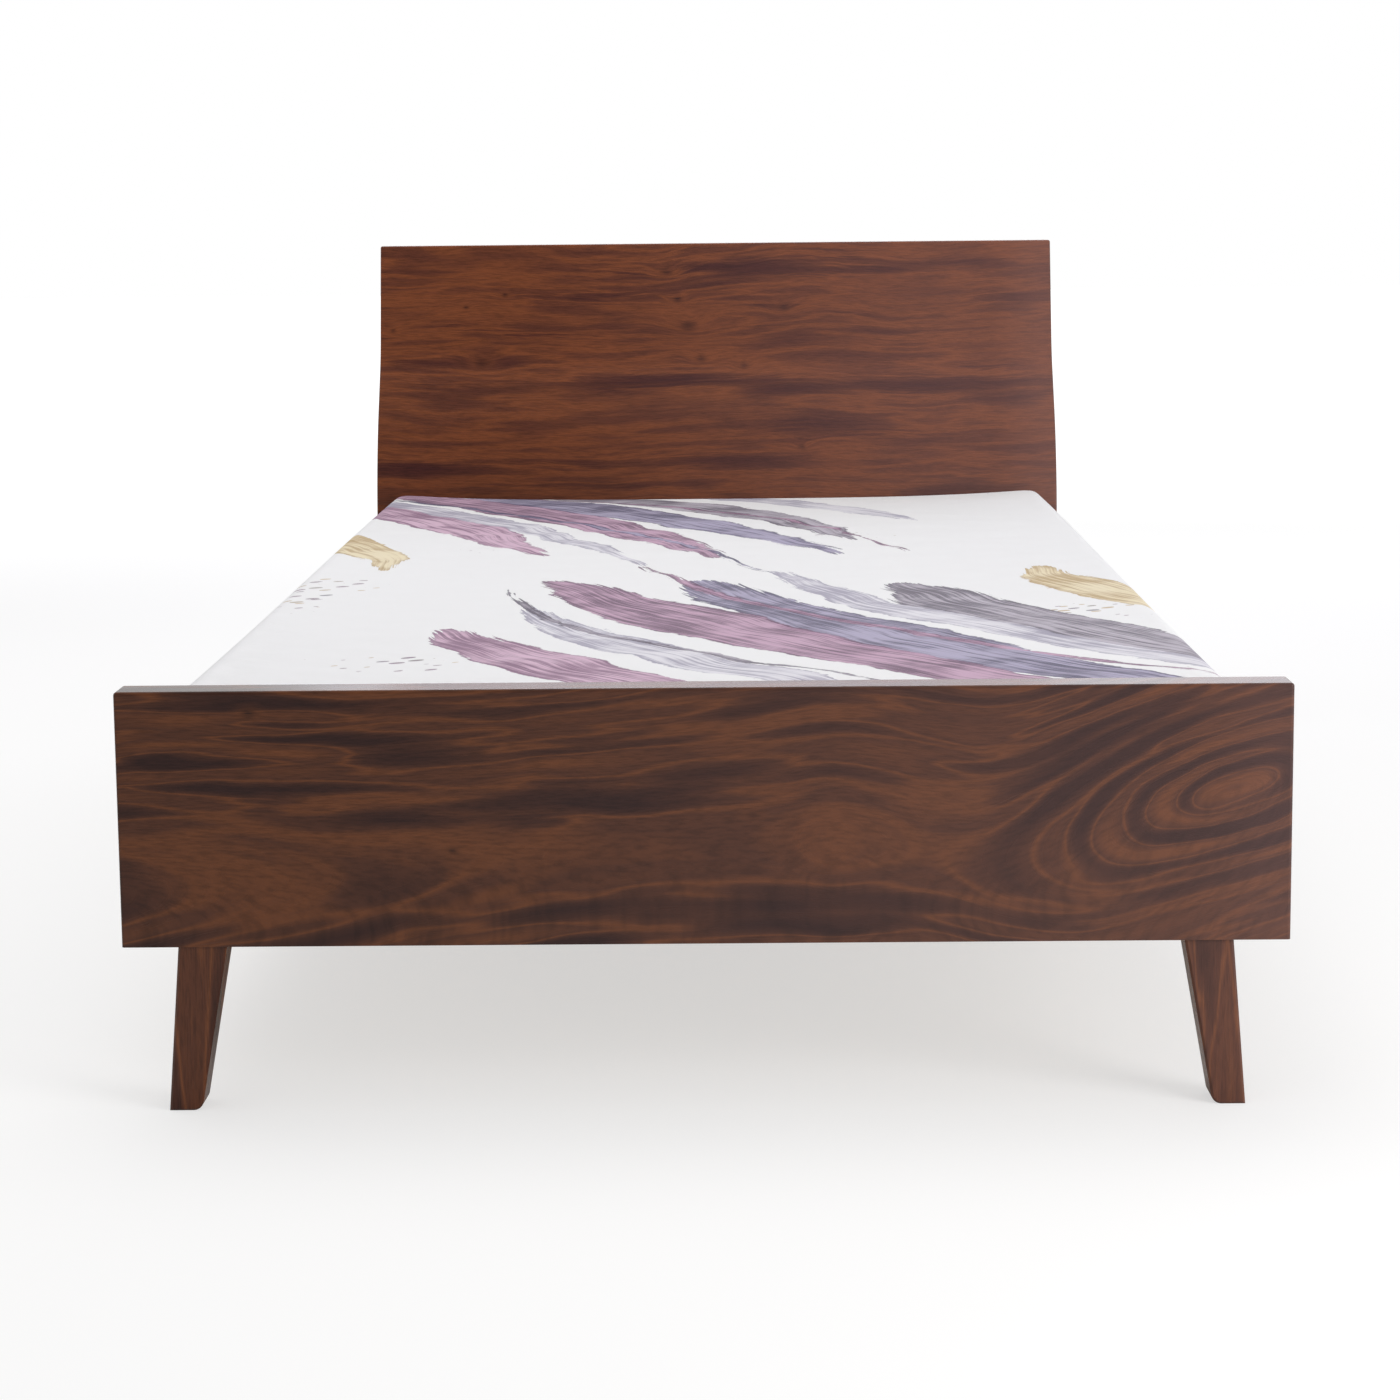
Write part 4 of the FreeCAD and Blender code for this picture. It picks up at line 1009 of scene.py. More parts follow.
@dataclass
class Headboard:
    """S-curved panel that leans back above the mattress."""

    thickness: float = 0.043
    easing: float = 0.003
    arc_step: float = 1.5
    curve_start: float = 0.158
    sweep_radius: float = 0.350
    sweep_angle: float = 31.0
    slant_run: float = 0.060
    return_radius: float = 0.165
    top_angle: float = 13.0

    def side(self, height: float) -> np.ndarray:
        """Corners of the mattress side before its bends are rounded, from the foot up.

        Args:
            height: Height of the panel.

        Returns:
            Four points, as depth and height.
        """
        lean, top = math.radians(self.sweep_angle), math.radians(self.top_angle)
        first = self.sweep_radius * math.tan(lean / 2)
        second = self.return_radius * math.tan((lean - top) / 2)
        low = np.array((0.0, self.curve_start + first))
        high = low + np.array((math.sin(lean), math.cos(lean))) * (first + self.slant_run + second)
        end = high + np.array((math.tan(top), 1.0)) * (height - high[1])
        return np.array(((0.0, 0.0), low, high, end))

    def outline(self, height: float) -> tuple[np.ndarray, np.ndarray]:
        """Closed section of the panel.

        The back is the front moved by the thickness: each bend by the thickness across the run below
        it and by the thickness times the tangent of half its turn along it.

        Args:
            height: Height of the panel.

        Returns:
            Points as depth and height, with their normals.
        """
        front = self.side(height)
        lean, top = math.radians(self.sweep_angle), math.radians(self.top_angle)
        shift_low = np.array((1.0, -math.tan(lean / 2))) * self.thickness
        across = np.array((math.cos(lean), -math.sin(lean)))
        ahead = np.array((math.sin(lean), math.cos(lean)))
        shift_high = (across + ahead * math.tan((lean - top) / 2)) * self.thickness
        shift_end = np.array((self.thickness / math.cos(top), 0.0))
        back = front + np.array(((self.thickness, 0.0), shift_low, shift_high, shift_end))
        corners = np.concatenate((back, front[::-1]))
        edge = 1.1 * self.easing
        low, high = self.sweep_radius, self.return_radius
        radii = np.array((edge, low - self.thickness, high + self.thickness, edge, edge, high, low, edge))
        return rounded_outline(corners, radii, self.arc_step)

    def build(self, material: bpy.types.Material) -> bpy.types.Object:
        """Make the panel in the place of its solid.

        Args:
            material: Its finish.

        Returns:
            The piece.
        """
        low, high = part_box("headboard_panel")
        points, faces, normals = eased_prism(self.outline(high.z - low.z), (high.x - low.x) / 2, self.easing)
        points = points + np.array(((low.x + high.x) / 2, low.y, low.z))
        piece = new_piece("headboard", (points, faces, normals), material, "frame")
        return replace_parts(piece, "headboard_panel")


@dataclass
class SlatTape:
    """Webbing that lies over the slats and dips a little into each gap."""

    side: str
    dip: float = 0.0016
    step: float = 0.006
    rim: float = 0.0003
    roll_count: int = 16

    def build(self, material: bpy.types.Material, slats: list[str]) -> bpy.types.Object:
        """Make the tape in the place of its solid.

        Over a gap it hangs lower by the dip times the squared sine of its share of the gap. Its
        section is a flat strip with rolled edges.

        Args:
            material: Its finish.
            slats: The slats that it joins, from the foot on.

        Returns:
            The piece.
        """
        low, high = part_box("slat_tape_" + self.side)
        boxes = [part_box(name) for name in slats]
        y = np.linspace(low.y, high.y, int((high.y - low.y) / self.step) + 1)
        hang = np.zeros_like(y)
        for before, after in zip(boxes, boxes[1:]):
            share = np.clip((y - before[1].y) / (after[0].y - before[1].y), 0.0, 1.0)
            hang += self.dip * np.sin(math.pi * share) ** 2
        inner_x, inner_z = high.x - low.x - 2 * self.rim, high.z - low.z - 2 * self.rim
        roll = 2.0 * math.pi * (np.arange(self.roll_count) + 0.5) / self.roll_count
        x = (low.x + high.x) / 2 + np.sign(np.cos(roll)) * inner_x / 2 + self.rim * np.cos(roll)
        z = (low.z + high.z) / 2 + np.sign(np.sin(roll)) * inner_z / 2 + self.rim * np.sin(roll)
        rings = np.empty((len(y), len(roll), 3))
        rings[..., 0], rings[..., 1], rings[..., 2] = x, y[:, None], z - hang[:, None]
        faces = tube_faces(*rings.shape[:2])
        name = "slat_webbing_" + self.side
        piece = new_piece(name, (rings.reshape(-1, 3), faces, None), material, "frame")
        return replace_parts(piece, "slat_tape_" + self.side)


@dataclass(frozen=True)
class Fold:
    """Flat grid that is folded over a padded block: its sizes, and where it lies."""

    low: Vector
    high: Vector
    corner_radius: float
    top_radius: float
    bottom_radius: float
    hem: float
    corner_hem: float
    cells: tuple[int, int] = (36, 78)
    edge_cells: tuple[int, ...] = (3, 5, 7, 5, 3)
    pleat: float = 0.0
    crown: float = 0.0033
    side_bulge: float = 0.002
    edge_rise: tuple[float, float] = (0.004, 0.011)
    flare: tuple[float, float] = (0.005, 0.014)
    flare_start: float = 0.094
    flare_run: float = 0.040

    @property
    def height(self) -> float:
        """Height of the block without its crown."""
        return self.high.z - self.low.z - self.crown

    @property
    def middle(self) -> np.ndarray:
        """Middle of the block in plan."""
        return np.array(((self.low.x + self.high.x) / 2, (self.low.y + self.high.y) / 2))

    @property
    def inner(self) -> np.ndarray:
        """Half sizes of the flat middle, inside the corners' uprights."""
        half = np.array(((self.high.x - self.low.x) / 2 - self.side_bulge, (self.high.y - self.low.y) / 2))
        return half - self.corner_radius

    @property
    def runs(self) -> tuple[float, ...]:
        """Lengths along the edge's profile.

        Returns:
            Those of its flat run, its round, its upright side, its second round and its hem.
        """
        upright = self.height - self.top_radius - self.bottom_radius
        rounds = (self.top_radius * math.pi / 2, self.bottom_radius * math.pi / 2)
        return self.corner_radius - self.top_radius, rounds[0], upright, rounds[1], self.hem

    @property
    def reach(self) -> float:
        """Length of the edge's profile, from the flat middle to the end of the hem."""
        return sum(self.runs)

    @property
    def counts(self) -> tuple[int, ...]:
        """Numbers of grid lines, across and along."""
        return tuple(count + 1 + 2 * sum(self.edge_cells) for count in self.cells)

    def ticks(self, inner: float, cells: int) -> np.ndarray:
        """Grid lines of one direction: even on the flat middle and on each run of the edge.

        Args:
            inner: Half size of the flat middle.
            cells: Number of cells on it.

        Returns:
            Their places on the flat cloth.
        """
        steps = [np.full(count, run / count) for run, count in zip(self.runs, self.edge_cells)]
        edge = inner + np.cumsum(np.concatenate(steps))
        return np.concatenate((-edge[::-1], np.linspace(-inner, inner, cells + 1), edge))

    def profile(self, far: np.ndarray, hem: np.ndarray) -> tuple[np.ndarray, np.ndarray]:
        """Plan radius and level on the edge's profile at a distance along it.

        The profile is a flat run, a quarter round, an upright side that bulges by a half sine, a
        quarter round and the hem.

        Args:
            far: Distance from the flat middle.
            hem: Length of the hem there.

        Returns:
            The radius from the corner's upright, and the level below the top.
        """
        flat, first, upright, second, _ = self.runs
        run = np.clip(far, 0.0, flat)
        one = np.clip(far - flat, 0.0, first) / self.top_radius
        down = np.clip(far - flat - first, 0.0, upright)
        two = np.clip(far - flat - first - upright, 0.0, second) / self.bottom_radius
        under = np.clip((far - flat - first - upright - second) / self.hem, 0.0, 1.0) * hem
        radius = run + self.top_radius * np.sin(one) - self.bottom_radius * (1 - np.cos(two)) - under
        radius = radius + self.side_bulge * np.sin(math.pi * down / upright)
        return radius, self.top_radius * (1 - np.cos(one)) + down + self.bottom_radius * np.sin(two)

    @staticmethod
    def step(share: np.ndarray) -> np.ndarray:
        """Smooth step from 0 to 1 over the share from 0 to 1."""
        share = np.clip(share, 0.0, 1.0)
        return share * share * (3 - 2 * share)

    def rise(self, side: np.ndarray, end: np.ndarray) -> np.ndarray:
        """Height of the top above the block's edge line.

        The crown is one less high powers of the shares of both half sizes. Towards the long sides the
        top rises with the fourth power of the share across, more at the head than at the foot.

        Args:
            side: Share of the half width, without its sign.
            end: Share of the half length, from -1 at the foot to 1 at the head.

        Returns:
            The heights.
        """
        dome = np.clip(1 - side**6, 0.0, None) * np.clip(1 - end**12, 0.0, None)
        foot, head = self.edge_rise
        return self.crown * dome + (foot + (head - foot) * self.step((end + 1) / 2)) * side**4

    def points(self) -> tuple[np.ndarray, np.ndarray]:
        """Fold the grid.

        Beyond the flat middle a point goes on along the edge's profile by the larger of its two
        excesses, and at a corner it turns round the corner's upright by their ratio. Pleats are a
        squared sine of that turn and grow downwards. Above the rails the long sides flare by a smooth
        step of the height, more at the head.

        Returns:
            The points, and their places on the flat cloth.
        """
        inner = self.inner
        across, along = (self.ticks(side, count) for side, count in zip(inner, self.cells))
        u, v = np.meshgrid(across, along, indexing="ij")
        over_u, over_v = np.clip(np.abs(u) - inner[0], 0, None), np.clip(np.abs(v) - inner[1], 0, None)
        far = np.maximum(over_u, over_v)
        share = np.minimum(over_u, over_v) / np.maximum(far, 1e-9)
        turn = np.where(over_u >= over_v, share, 2.0 - share) * math.pi / 4
        spare = np.where(over_u >= over_v, inner[1] - np.abs(v), inner[0] - np.abs(u))
        hem = self.corner_hem + (self.hem - self.corner_hem) * self.step(spare / 0.15)
        radius, level = self.profile(far, hem)
        low = self.step(level / (0.6 * self.height)) * (over_u > 0) * (over_v > 0)
        radius = radius + self.pleat * low * np.sin(8.0 * turn) ** 2
        x = np.minimum(np.abs(u), inner[0]) + radius * np.cos(turn) * (far > 0)
        y = np.minimum(np.abs(v), inner[1]) + radius * np.sin(turn) * (far > 0)
        side = np.clip(x / (inner[0] + self.corner_radius), 0.0, 1.0)
        end = np.clip(np.sign(v) * y / (inner[1] + self.corner_radius), -1.0, 1.0)
        height = self.height - level + self.rise(side, end) * np.clip(1 - level / self.height, 0.0, 1.0)
        foot, head = self.flare
        wide = (foot + (head - foot) * self.step((end + 1) / 2)) * side**3
        x = x + wide * self.step((height - self.flare_start) / self.flare_run)
        middle = self.middle
        folded = (middle[0] + np.sign(u) * x, middle[1] + np.sign(v) * y, self.low.z + height)
        return np.stack(folded, axis=-1), np.stack((u, v), axis=-1)

    def faces(self) -> np.ndarray:
        """Cells of the grid, anticlockwise from above.

        Returns:
            Four point numbers for each.
        """
        counts = self.counts
        row, column = np.meshgrid(np.arange(counts[0] - 1), np.arange(counts[1] - 1), indexing="ij")
        here = row * counts[1] + column
        return np.stack((here, here + counts[1], here + counts[1] + 1, here + 1), axis=-1).reshape(-1, 4)


@dataclass
class Bedding:
    """Foam mattress, and the fitted sheet that is drawn over it."""

    corner_radius: float = 0.032
    top_radius: float = 0.014
    bottom_radius: float = 0.014
    hem: float = 0.070
    corner_hem: float = 0.016
    turn_under: float = 0.0045
    sheet_thickness: float = 0.0012
    room: float = 0.003
    pleat: float = 0.0013

    def build_mattress(self, material: bpy.types.Material) -> bpy.types.Object:
        """Make the mattress in the place of its solid, with room for the sheet's creases round it.

        A flat underside closes it.

        Args:
            material: Its finish.

        Returns:
            The piece.
        """
        radii = (self.corner_radius, self.top_radius, self.bottom_radius)
        low, high = (Vector(corner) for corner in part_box("mattress"))
        low += Vector((self.room, self.room, 0.0))
        high -= Vector((self.room, self.room, self.room))
        fold = Fold(low, high, *radii, self.turn_under, self.turn_under)
        points, _ = fold.points()
        rim = np.concatenate((
            np.arange(fold.counts[0]) * fold.counts[1],
            (fold.counts[0] - 1) * fold.counts[1] + np.arange(1, fold.counts[1]),
            np.arange(fold.counts[0] - 2, -1, -1) * fold.counts[1] + fold.counts[1] - 1,
            np.arange(fold.counts[1] - 2, 0, -1),
        ))
        faces = fold.faces().tolist() + [rim[::-1].tolist()]
        mesh = (points.reshape(-1, 3), faces, None)
        piece = new_piece("mattress_body", mesh, material, "bedding")
        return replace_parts(piece, "mattress")

    def build_sheet(self, material: bpy.types.Material) -> bpy.types.Object:
        """Make the fitted sheet in the place of its solid, drawn tight over the mattress.

        Args:
            material: Its finish.

        Returns:
            The piece.
        """
        more = self.sheet_thickness
        fold = Fold(
            *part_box("fitted_sheet"),
            self.corner_radius + more,
            self.top_radius + more,
            self.bottom_radius + more,
            self.hem,
            self.corner_hem,
            pleat=self.pleat,
        )
        points, cloth = fold.points()
        away = np.abs(cloth) - fold.inner
        top = 1 - fold.step(np.max(away, axis=-1) / (self.corner_radius - self.top_radius))
        points[..., 2] += wrinkles(cloth, away) * top
        mesh = (points.reshape(-1, 3), fold.faces().tolist(), None)
        piece = new_piece("fitted_sheet_cover", mesh, material, "bedding")
        layer = piece.data.uv_layers.new(name="cloth")
        corners = np.zeros(len(piece.data.loops), np.int32)
        piece.data.loops.foreach_get("vertex_index", corners)
        layer.data.foreach_set("uv", cloth.reshape(-1, 2)[corners].astype(np.float32).ravel())
        finer = piece.modifiers.new("finer", "SUBSURF")
        finer.levels = finer.render_levels = 1
        solid = piece.modifiers.new("cloth_thickness", "SOLIDIFY")
        solid.thickness = self.sheet_thickness
        solid.offset = -1.0
        drop = fold.reach - fold.corner_radius
        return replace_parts(piece, "fitted_sheet")

    def build(self) -> None:
        """Build the mattress and the sheet."""
        self.build_mattress(Ticking().material())
        self.build_sheet(PrintedCotton("printed_cotton", STROKES).material())


@dataclass(frozen=True)
class Crease:
    """One family of long soft creases on the sheet."""

    slant: float
    length: float
    strength: float
    phase: float

    def height(self, x: np.ndarray, y: np.ndarray) -> np.ndarray:
        """Sine across the slant, whose phase wanders slowly and whose strength swells and fades.

        Args:
            x: Places across the flat cloth.
            y: Places along it.

        Returns:
            Heights in metres.
        """
        turn = math.radians(self.slant)
        side = y * math.cos(turn) - x * math.sin(turn)
        run = x * math.cos(turn) + y * math.sin(turn)
        wander = 1.4 * np.sin(run * 5.1 + self.phase) + 0.8 * np.sin(run * 11.7 - 2 * self.phase + side * 3)
        fade = 0.5 + 0.5 * np.sin(run * 2.7 + side * 4.3 + self.phase * 3)
        return self.strength * fade * np.sin(2 * math.pi * side / self.length + wander)


# Creases of the sheet, in degrees and metres
CREASES = (Crease(24, 0.090, 7e-4, 0.3), Crease(-33, 0.070, 5e-4, 1.9), Crease(12, 0.130, 8e-4, 4.1))


def wrinkles(cloth: np.ndarray, away: np.ndarray) -> np.ndarray:
    """Height of the creases on top of the sheet: the long ones, and short ones at the corners.

    Where the sheet is pulled down at a corner, creases point at it: a sine of the direction to the
    corner that dies away with the distance from it.

    Args:
        cloth: Places on the flat cloth.
        away: Distances of those places beyond the flat middle, across and along.

    Returns:
        Heights in metres.
    """
    x, y = cloth[..., 0], cloth[..., 1]
    reach = np.hypot(away[..., 0], away[..., 1])
    aim = np.arctan2(-away[..., 1], -away[..., 0])
    pull = np.exp(-((reach / 0.16) ** 2)) * (1 - np.exp(-((reach / 0.03) ** 2)))
    gathers = 0.0012 * pull * np.sin(16.0 * aim + 9.0 * reach + np.sign(x) + 2 * np.sign(y))
    return sum(crease.height(x, y) for crease in CREASES) + gathers


@dataclass(frozen=True)
class SoftBox:
    """Lamp with a wide face: where it hangs, what it points at, its size, watts and colour."""

    name: str
    place: tuple[float, float, float]
    aim: tuple[float, float, float]
    size: tuple[float, float]
    power: float
    colour: tuple[float, float, float]
    mirrored: bool = True

    def hang(self) -> None:
        """Put the lamp into the scene, unseen by the camera and, where it isn't mirrored, by gloss."""
        data = bpy.data.lights.new(self.name, "AREA")
        data.shape, data.size, data.size_y = "RECTANGLE", *self.size
        data.energy, data.color = self.power, self.colour
        lamp = bpy.data.objects.new(self.name, data)
        lamp.location = self.place
        lamp.rotation_euler = (Vector(self.aim) - Vector(self.place)).to_track_quat("-Z", "Y").to_euler()
        lamp.visible_camera = False
        lamp.visible_glossy = self.mirrored
        bpy.context.scene.collection.objects.link(lamp)


# Soft boxes of the studio
LAMPS = (
    SoftBox("overhead", (-0.6, 0.5, 3.6), (0.0, 0.1, 0.3), (3.0, 3.0), 50.0, (1.0, 0.99, 0.98), False),
    SoftBox("behind", (1.0, 3.6, 1.9), (0.1, -1.0, 0.4), (4.2, 1.5), 31.0, (0.90, 0.885, 1.0)),
    SoftBox("right_side", (1.9, -2.5, 1.0), (0.3, -1.0, 0.3), (1.2, 1.2), 30.0, (1.0, 0.98, 0.97)),
)


@dataclass
class Studio:
    """Pale floor, soft light and the camera."""

    eye: tuple[float, float, float] = (0.0311, -3.8346, 0.7584)
    yaw: float = -0.701
    pitch: float = 8.419
    roll: float = -0.565
    focal_pixels: float = 3252.67
    image_pixels: float = 1400.0
    floor_half: float = 30.0

    def camera(self) -> None:
        """Put the camera where the photograph was taken from."""
        yaw, pitch, roll = (math.radians(turn) for turn in (self.yaw, self.pitch, self.roll))
        ahead = Vector((math.sin(yaw) * math.cos(pitch), math.cos(yaw) * math.cos(pitch), -math.sin(pitch)))
        level = Vector((math.cos(yaw), -math.sin(yaw), 0.0))
        above = level.cross(ahead)
        right = level * math.cos(roll) + above * math.sin(roll)
        above = above * math.cos(roll) - level * math.sin(roll)
        data = bpy.data.cameras.new("camera")
        data.lens = self.focal_pixels / self.image_pixels * data.sensor_width
        data.clip_end = 200.0
        camera = bpy.data.objects.new("camera", data)
        facing = Matrix((right, above, -ahead)).transposed().to_4x4()
        camera.matrix_world = Matrix.Translation(self.eye) @ facing
        bpy.context.scene.collection.objects.link(camera)
        bpy.context.scene.camera = camera

    def world(self) -> None:
        """Even white surroundings: full white where they are seen, softer as light on the bed."""
        world = bpy.data.worlds.new("studio")
        bpy.context.scene.world = world
        world.use_nodes = True
        wiring = Wiring(world.node_tree)
        rays = wiring.add("ShaderNodeLightPath").outputs
        seen = wiring.math("MAXIMUM", rays["Is Camera Ray"], rays["Is Transmission Ray"])
        direction = wiring.add("ShaderNodeTexCoord").outputs["Generated"]
        _, y, _ = wiring.split(direction)
        glossy = wiring.spread(y, -0.6, 0.5, 0.25, 1.0)
        level = wiring.line(rays["Is Glossy Ray"], wiring.less(glossy, 0.50), 0.50)
        level = wiring.math("MAXIMUM", level, seen)
        shader = next(node for node in world.node_tree.nodes if node.type == "BACKGROUND")
        shader.inputs["Color"].default_value = (1.0, 1.0, 1.0, 1.0)
        wiring.feed(shader.inputs["Strength"], level)

    def floor(self) -> None:
        """White floor that keeps the bed's shadow."""
        material, wiring, shader = new_material("floor")
        shader.inputs["Roughness"].default_value = 0.9
        shader.inputs["Specular IOR Level"].default_value = 0.0
        shader.inputs["Emission Color"].default_value = (1.0, 1.0, 1.0, 1.0)
        seen = wiring.add("ShaderNodeLightPath").outputs["Is Camera Ray"]
        away = wiring.add("ShaderNodeVectorMath", {0: place_of(wiring)}, operation="LENGTH").outputs["Value"]
        lift = wiring.spread(away, 2.5, 7.0, 0.58, 1.0)
        wiring.feed(shader.inputs["Emission Strength"], wiring.times(seen, lift))
        grey = wiring.mix(seen, (0.86, 0.86, 0.86, 1.0), (0.45, 0.45, 0.45, 1.0))
        wiring.feed(shader.inputs["Base Color"], grey)
        half = self.floor_half
        corners = [(-half, -half, 0.0), (half, -half, 0.0), (half, half, 0.0), (-half, half, 0.0)]
        data = bpy.data.meshes.new("floor")
        data.from_pydata(corners, [], [(0, 1, 2, 3)])
        data.materials.append(material)
        floor = bpy.data.objects.new("floor", data)
        bpy.context.scene.collection.objects.link(floor)

    def build(self) -> None:
        """Set up the whole studio."""
        bpy.context.scene.view_settings.view_transform = "Standard"
        self.camera()
        self.world()
        self.floor()
        for lamp in LAMPS:
            lamp.hang()


# Stains: dark for the footboard and rails, a little lighter for the legs, red for the headboard
DARK = {"shadow": tone(48, 28, 25), "body": tone(76, 45, 32), "glow": tone(106, 62, 36)}
LEG = {"shadow": tone(54, 31, 25), "body": tone(84, 49, 34), "glow": tone(116, 69, 41)}
RED = {"shadow": tone(62, 29, 29), "body": tone(93, 50, 34), "glow": tone(124, 68, 38)}

# Figure of the footboard: the pith's course, strong ovals, calm places, dark patches and knots
FOOT_PITH = Pith(
    cad_box[0][1],
    (
        (-0.500, 0.192, 0.046),
        (-0.390, 0.200, 0.057),
        (-0.250, 0.210, 0.066),
        (-0.100, 0.222, 0.071),
        (0.000, 0.232, 0.071),
        (0.070, 0.237, 0.069),
        (0.109, 0.238, 0.066),
        (0.150, 0.236, 0.069),
        (0.200, 0.228, 0.072),
        (0.250, 0.222, 0.067),
        (0.300, 0.227, 0.055),
        (0.350, 0.241, 0.038),
        (0.400, 0.257, 0.021),
        (0.452, 0.273, 0.006),
        (0.500, 0.287, 0.018),
    ),
)

FOOT_RINGS = (Spot(0.400, 0.250, 0.170, 0.080, 0.10, 18.0),)

FOOT_CALM = (
    Spot(-0.180, 0.228, 0.280, 0.040, 0.88),
    Spot(-0.420, 0.200, 0.160, 0.060, 0.78),
    Spot(0.120, 0.240, 0.130, 0.036, 0.80),
)

FOOT_SHADES = (
    Spot(-0.463, 0.312, 0.028, 0.011, 0.13),
    Spot(-0.375, 0.280, 0.035, 0.009, 0.12),
    Spot(-0.255, 0.264, 0.050, 0.006, 0.12),
    Spot(-0.270, 0.312, 0.090, 0.010, 0.08),
    Spot(-0.140, 0.262, 0.030, 0.006, 0.10),
    Spot(0.165, 0.186, 0.060, 0.013, 0.12),
    Spot(-0.120, 0.178, 0.040, 0.008, 0.11),
    Spot(0.060, 0.190, 0.035, 0.010, 0.09),
    Spot(0.285, 0.276, 0.060, 0.020, 0.08, 24.0),
)

FOOT_KNOTS = (
    Knot(0.042, 0.257, 0.005),
    Knot(-0.214, 0.228, 0.004),
    Knot(-0.385, 0.346, 0.005),
)

# Figure of the headboard: dark patches, calm places and knots
HEAD_SHADES = (
    Spot(0.060, 0.698, 0.120, 0.010, 0.12),
    Spot(0.210, 0.690, 0.110, 0.006, 0.12),
    Spot(0.380, 0.700, 0.100, 0.006, 0.08),
    Spot(-0.060, 0.530, 0.150, 0.008, 0.13),
    Spot(0.100, 0.520, 0.060, 0.010, 0.10),
    Spot(0.330, 0.522, 0.120, 0.010, 0.13),
    Spot(0.440, 0.500, 0.060, 0.008, 0.10),
    Spot(-0.420, 0.410, 0.110, 0.008, 0.11),
    Spot(0.020, 0.415, 0.100, 0.009, 0.08),
    Spot(-0.340, 0.560, 0.060, 0.010, 0.08),
    Spot(-0.150, 0.655, 0.150, 0.006, 0.07),
    Spot(0.170, 0.470, 0.090, 0.015, 0.07),
)

HEAD_CALM = (
    Spot(-0.300, 0.470, 0.200, 0.040, 0.60),
    Spot(0.300, 0.600, 0.160, 0.050, 0.45),
    Spot(0.150, 0.440, 0.220, 0.030, 0.60),
)

HEAD_KNOTS = (
    Knot(-0.072, 0.680, 0.008),
    Knot(-0.056, 0.639, 0.006),
    Knot(-0.041, 0.600, 0.012),
    Knot(-0.022, 0.552, 0.007),
    Knot(0.042, 0.541, 0.006),
    Knot(0.102, 0.627, 0.008),
    Knot(-0.348, 0.549, 0.010),
    Knot(-0.372, 0.631, 0.004),
    Knot(-0.481, 0.597, 0.004),
    Knot(-0.314, 0.648, 0.004),
    Knot(0.126, 0.425, 0.005),
)

# Settings of each stained board, with the strength of the painted haze towards the right end
HEAD_FIGURE = {
    "band_count": 66.0,
    "band_run": 5.0,
    "ring_share": 0.015,
    "wave": 0.027,
    "contrast": 0.32,
    "least": 0.10,
    "blotch": 0.19,
    "detail": 2.0,
    "hair": 0.050,
    "lines": 0.65,
    "painted_haze": 0.11,
    "seed": 3.1,
    "knots": HEAD_KNOTS,
    "shades": HEAD_SHADES,
    "calm": HEAD_CALM,
    "seams": ((0.520, 0.09), (0.632, 0.03)),
}

FOOT_FIGURE = {
    "pith": FOOT_PITH,
    "band_count": 74.0,
    "band_run": 6.0,
    "wave": 0.020,
    "painted_haze": 0.055,
    "seed": 0.7,
    "knots": FOOT_KNOTS,
    "rings": FOOT_RINGS,
    "shades": FOOT_SHADES,
    "calm": FOOT_CALM,
}

LEG_FIGURE = {"wave": 0.008, "contrast": 0.7, "painted_haze": 0.04, "seed": 1.7}

# Layout of the print
STROKES = (
    Stroke(0.46, -0.36, 117.0, 0.34, 0.046, 0.06, *OCHRE),
    Stroke(0.38, -0.64, 118.0, 0.50, 0.058, 0.07, *GREY),
    Stroke(0.29, -0.60, 119.0, 0.60, 0.030, 0.08, *MIST),
    Stroke(0.22, -0.70, 120.0, 0.62, 0.056, 0.08, *VIOLET),
    Stroke(0.14, -0.52, 121.0, 0.60, 0.009, 0.10, *PLUM),
    Stroke(0.08, -0.66, 121.0, 0.60, 0.062, 0.06, *PLUM),
    Stroke(-0.01, -0.80, 123.0, 0.46, 0.034, 0.09, *MIST),
    Stroke(-0.04, -0.70, 123.0, 0.52, 0.007, 0.12, *GREY),
    Stroke(-0.10, -0.88, 125.0, 0.36, 0.050, 0.05, *ROSE),
    Stroke(-0.46, 0.30, 117.0, 0.32, 0.044, -0.06, *OCHRE),
    Stroke(-0.38, 0.62, 118.0, 0.50, 0.058, -0.07, *ROSE),
    Stroke(-0.29, 0.58, 119.0, 0.58, 0.030, -0.08, *MIST),
    Stroke(-0.22, 0.68, 120.0, 0.60, 0.060, -0.08, *PLUM),
    Stroke(-0.14, 0.50, 120.0, 0.58, 0.008, -0.10, *VIOLET),
    Stroke(-0.08, 0.66, 121.0, 0.56, 0.052, -0.06, *VIOLET),
    Stroke(0.01, 0.76, 123.0, 0.46, 0.050, -0.09, *GREY),
    Stroke(0.06, 0.66, 123.0, 0.50, 0.007, -0.12, *PLUM),
    Stroke(0.11, 0.88, 125.0, 0.34, 0.036, -0.05, *MIST),
)


def nodes_like(*starts: str) -> list[str]:
    """Names of the CAD nodes that start in one of these ways, in order."""
    return sorted(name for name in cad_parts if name.startswith(starts))


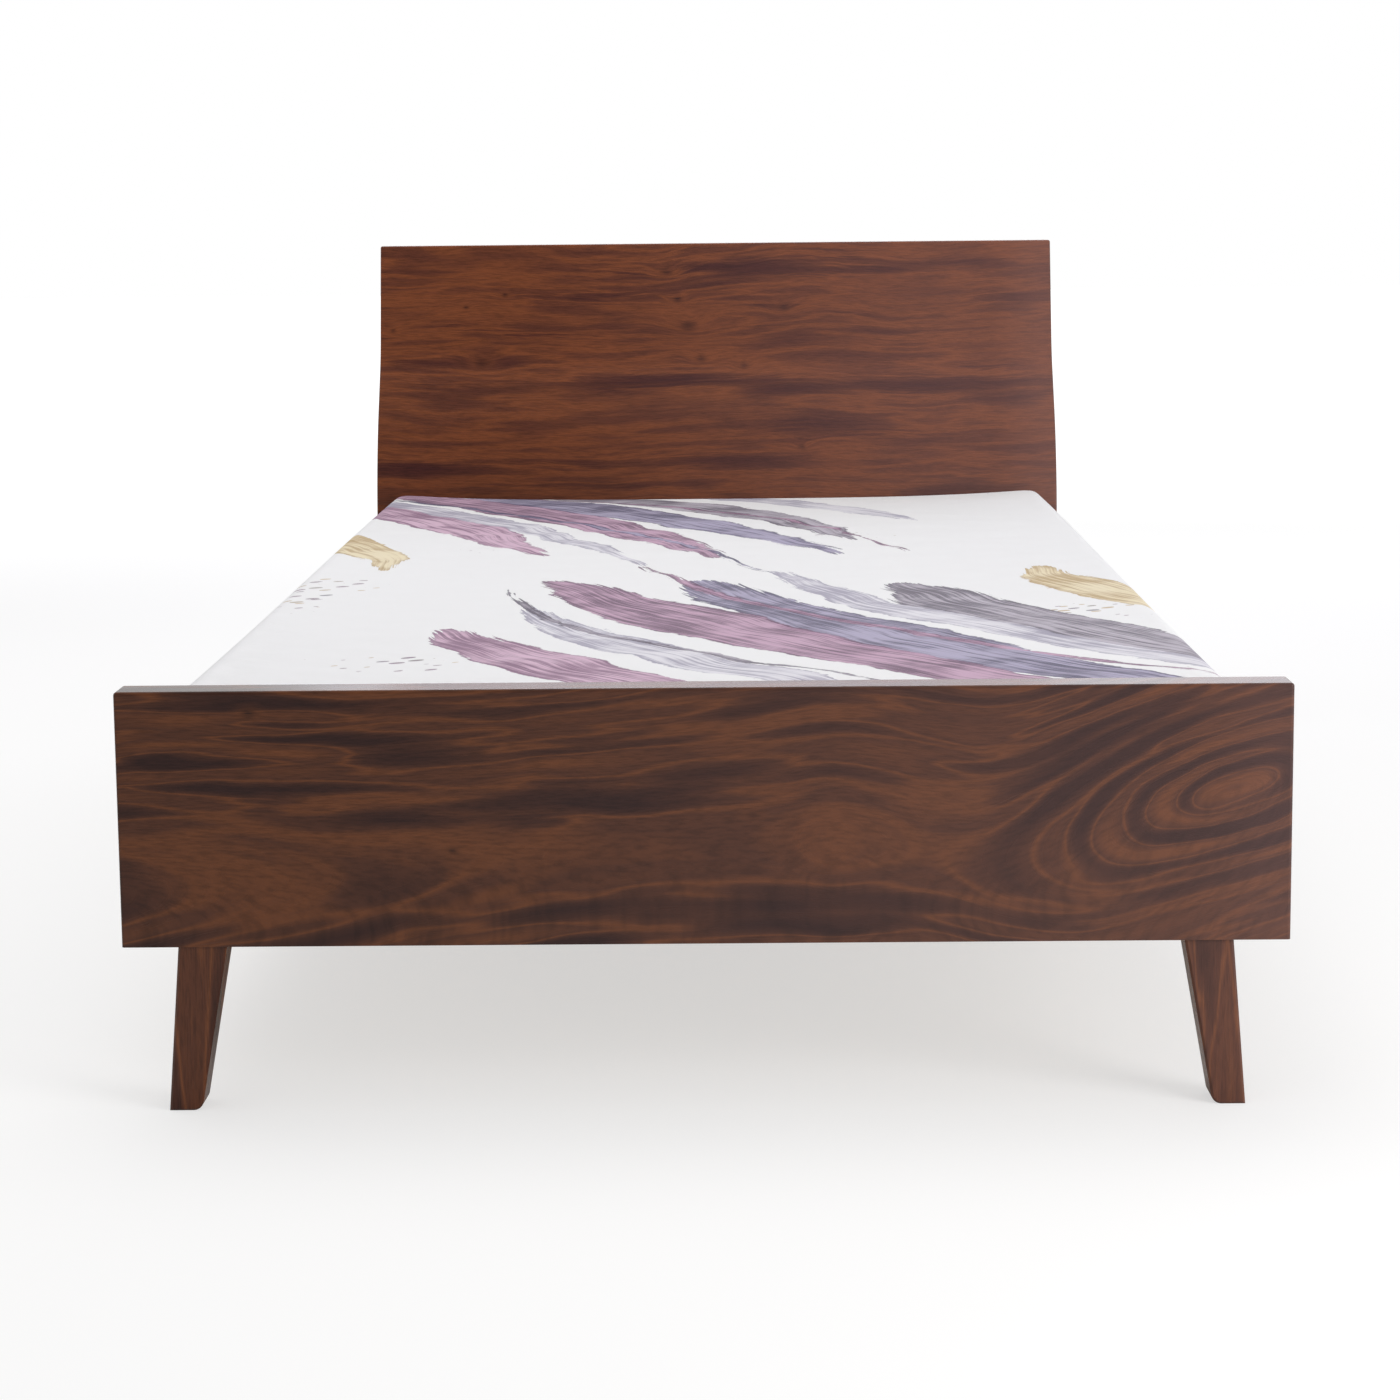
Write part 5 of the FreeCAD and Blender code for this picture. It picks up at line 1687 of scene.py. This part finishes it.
def dress(names: list[str], material: bpy.types.Material) -> None:
    """Give CAD pieces their finish.

    Args:
        names: The nodes.
        material: The finish.
    """
    for name in names:
        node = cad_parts[name]
        node.data.materials.clear()
        node.data.materials.append(material)
        log.info("%s: %s", name, material.name)


@dataclass
class Frame:
    """Panels, legs and rails of stained timber, the slatted base and the metal that joins them."""

    tapes: tuple[str, ...] = ("left", "right")

    def stained(self) -> None:
        """Make the headboard, and dress the footboard, the legs and the rails."""
        head = StainedTimber("head_timber", Grain.ACROSS_BED, **RED, **HEAD_FIGURE).material()
        Headboard().build(head)
        foot = StainedTimber("foot_timber", Grain.ACROSS_BED, **DARK, **FOOT_FIGURE).material()
        upright = StainedTimber("leg_timber", Grain.UPRIGHT, **LEG, **LEG_FIGURE).material()
        lengthways = StainedTimber("rail_timber", Grain.ALONG_BED, **DARK, seed=5.3).material()
        dress(["footboard_panel"], foot)
        dress(nodes_like("leg_front", "leg_rear"), upright)
        dress(nodes_like("side_rail"), lengthways)

    def base(self) -> None:
        """Dress the slats, the ledgers and the dowels, and lay the tapes over the slats."""
        slats = nodes_like("slat_0", "slat_1")
        dress(slats, PaleTimber("slat_timber", Grain.ACROSS_BED).material())
        ledgers = ["ledger_left", "ledger_right"]
        dress(ledgers, PaleTimber("ledger_timber", Grain.ALONG_BED).material())
        dress(["leg_dowels"], PaleTimber("dowel_timber", Grain.UPRIGHT).material())
        webbing = WovenTape().material()
        for side in self.tapes:
            SlatTape(side).build(webbing, slats)

    def metal(self) -> None:
        """Dress the plates, the screws, the bolts and the inserts."""
        steel = BrightMetal("zinc_steel", tone(196, 199, 204), 0.28).material()
        brass = BrightMetal("brass_insert", tone(205, 170, 98), 0.25).material()
        joints = nodes_like("hook_plate", "slotted_plate", "ledger_screws", "slat_screws", "leg_bolts")
        dress(joints, steel)
        dress(["leg_inserts"], brass)

    def build(self) -> None:
        """Build and dress the whole frame."""
        self.stained()
        self.base()
        self.metal()


def main() -> None:
    """Build the studio and the bed."""
    logging.basicConfig(level=logging.INFO, format="%(name)s: %(message)s")
    Studio().build()
    Frame().build()
    Bedding().build()


if __name__ == "__main__":
    main()
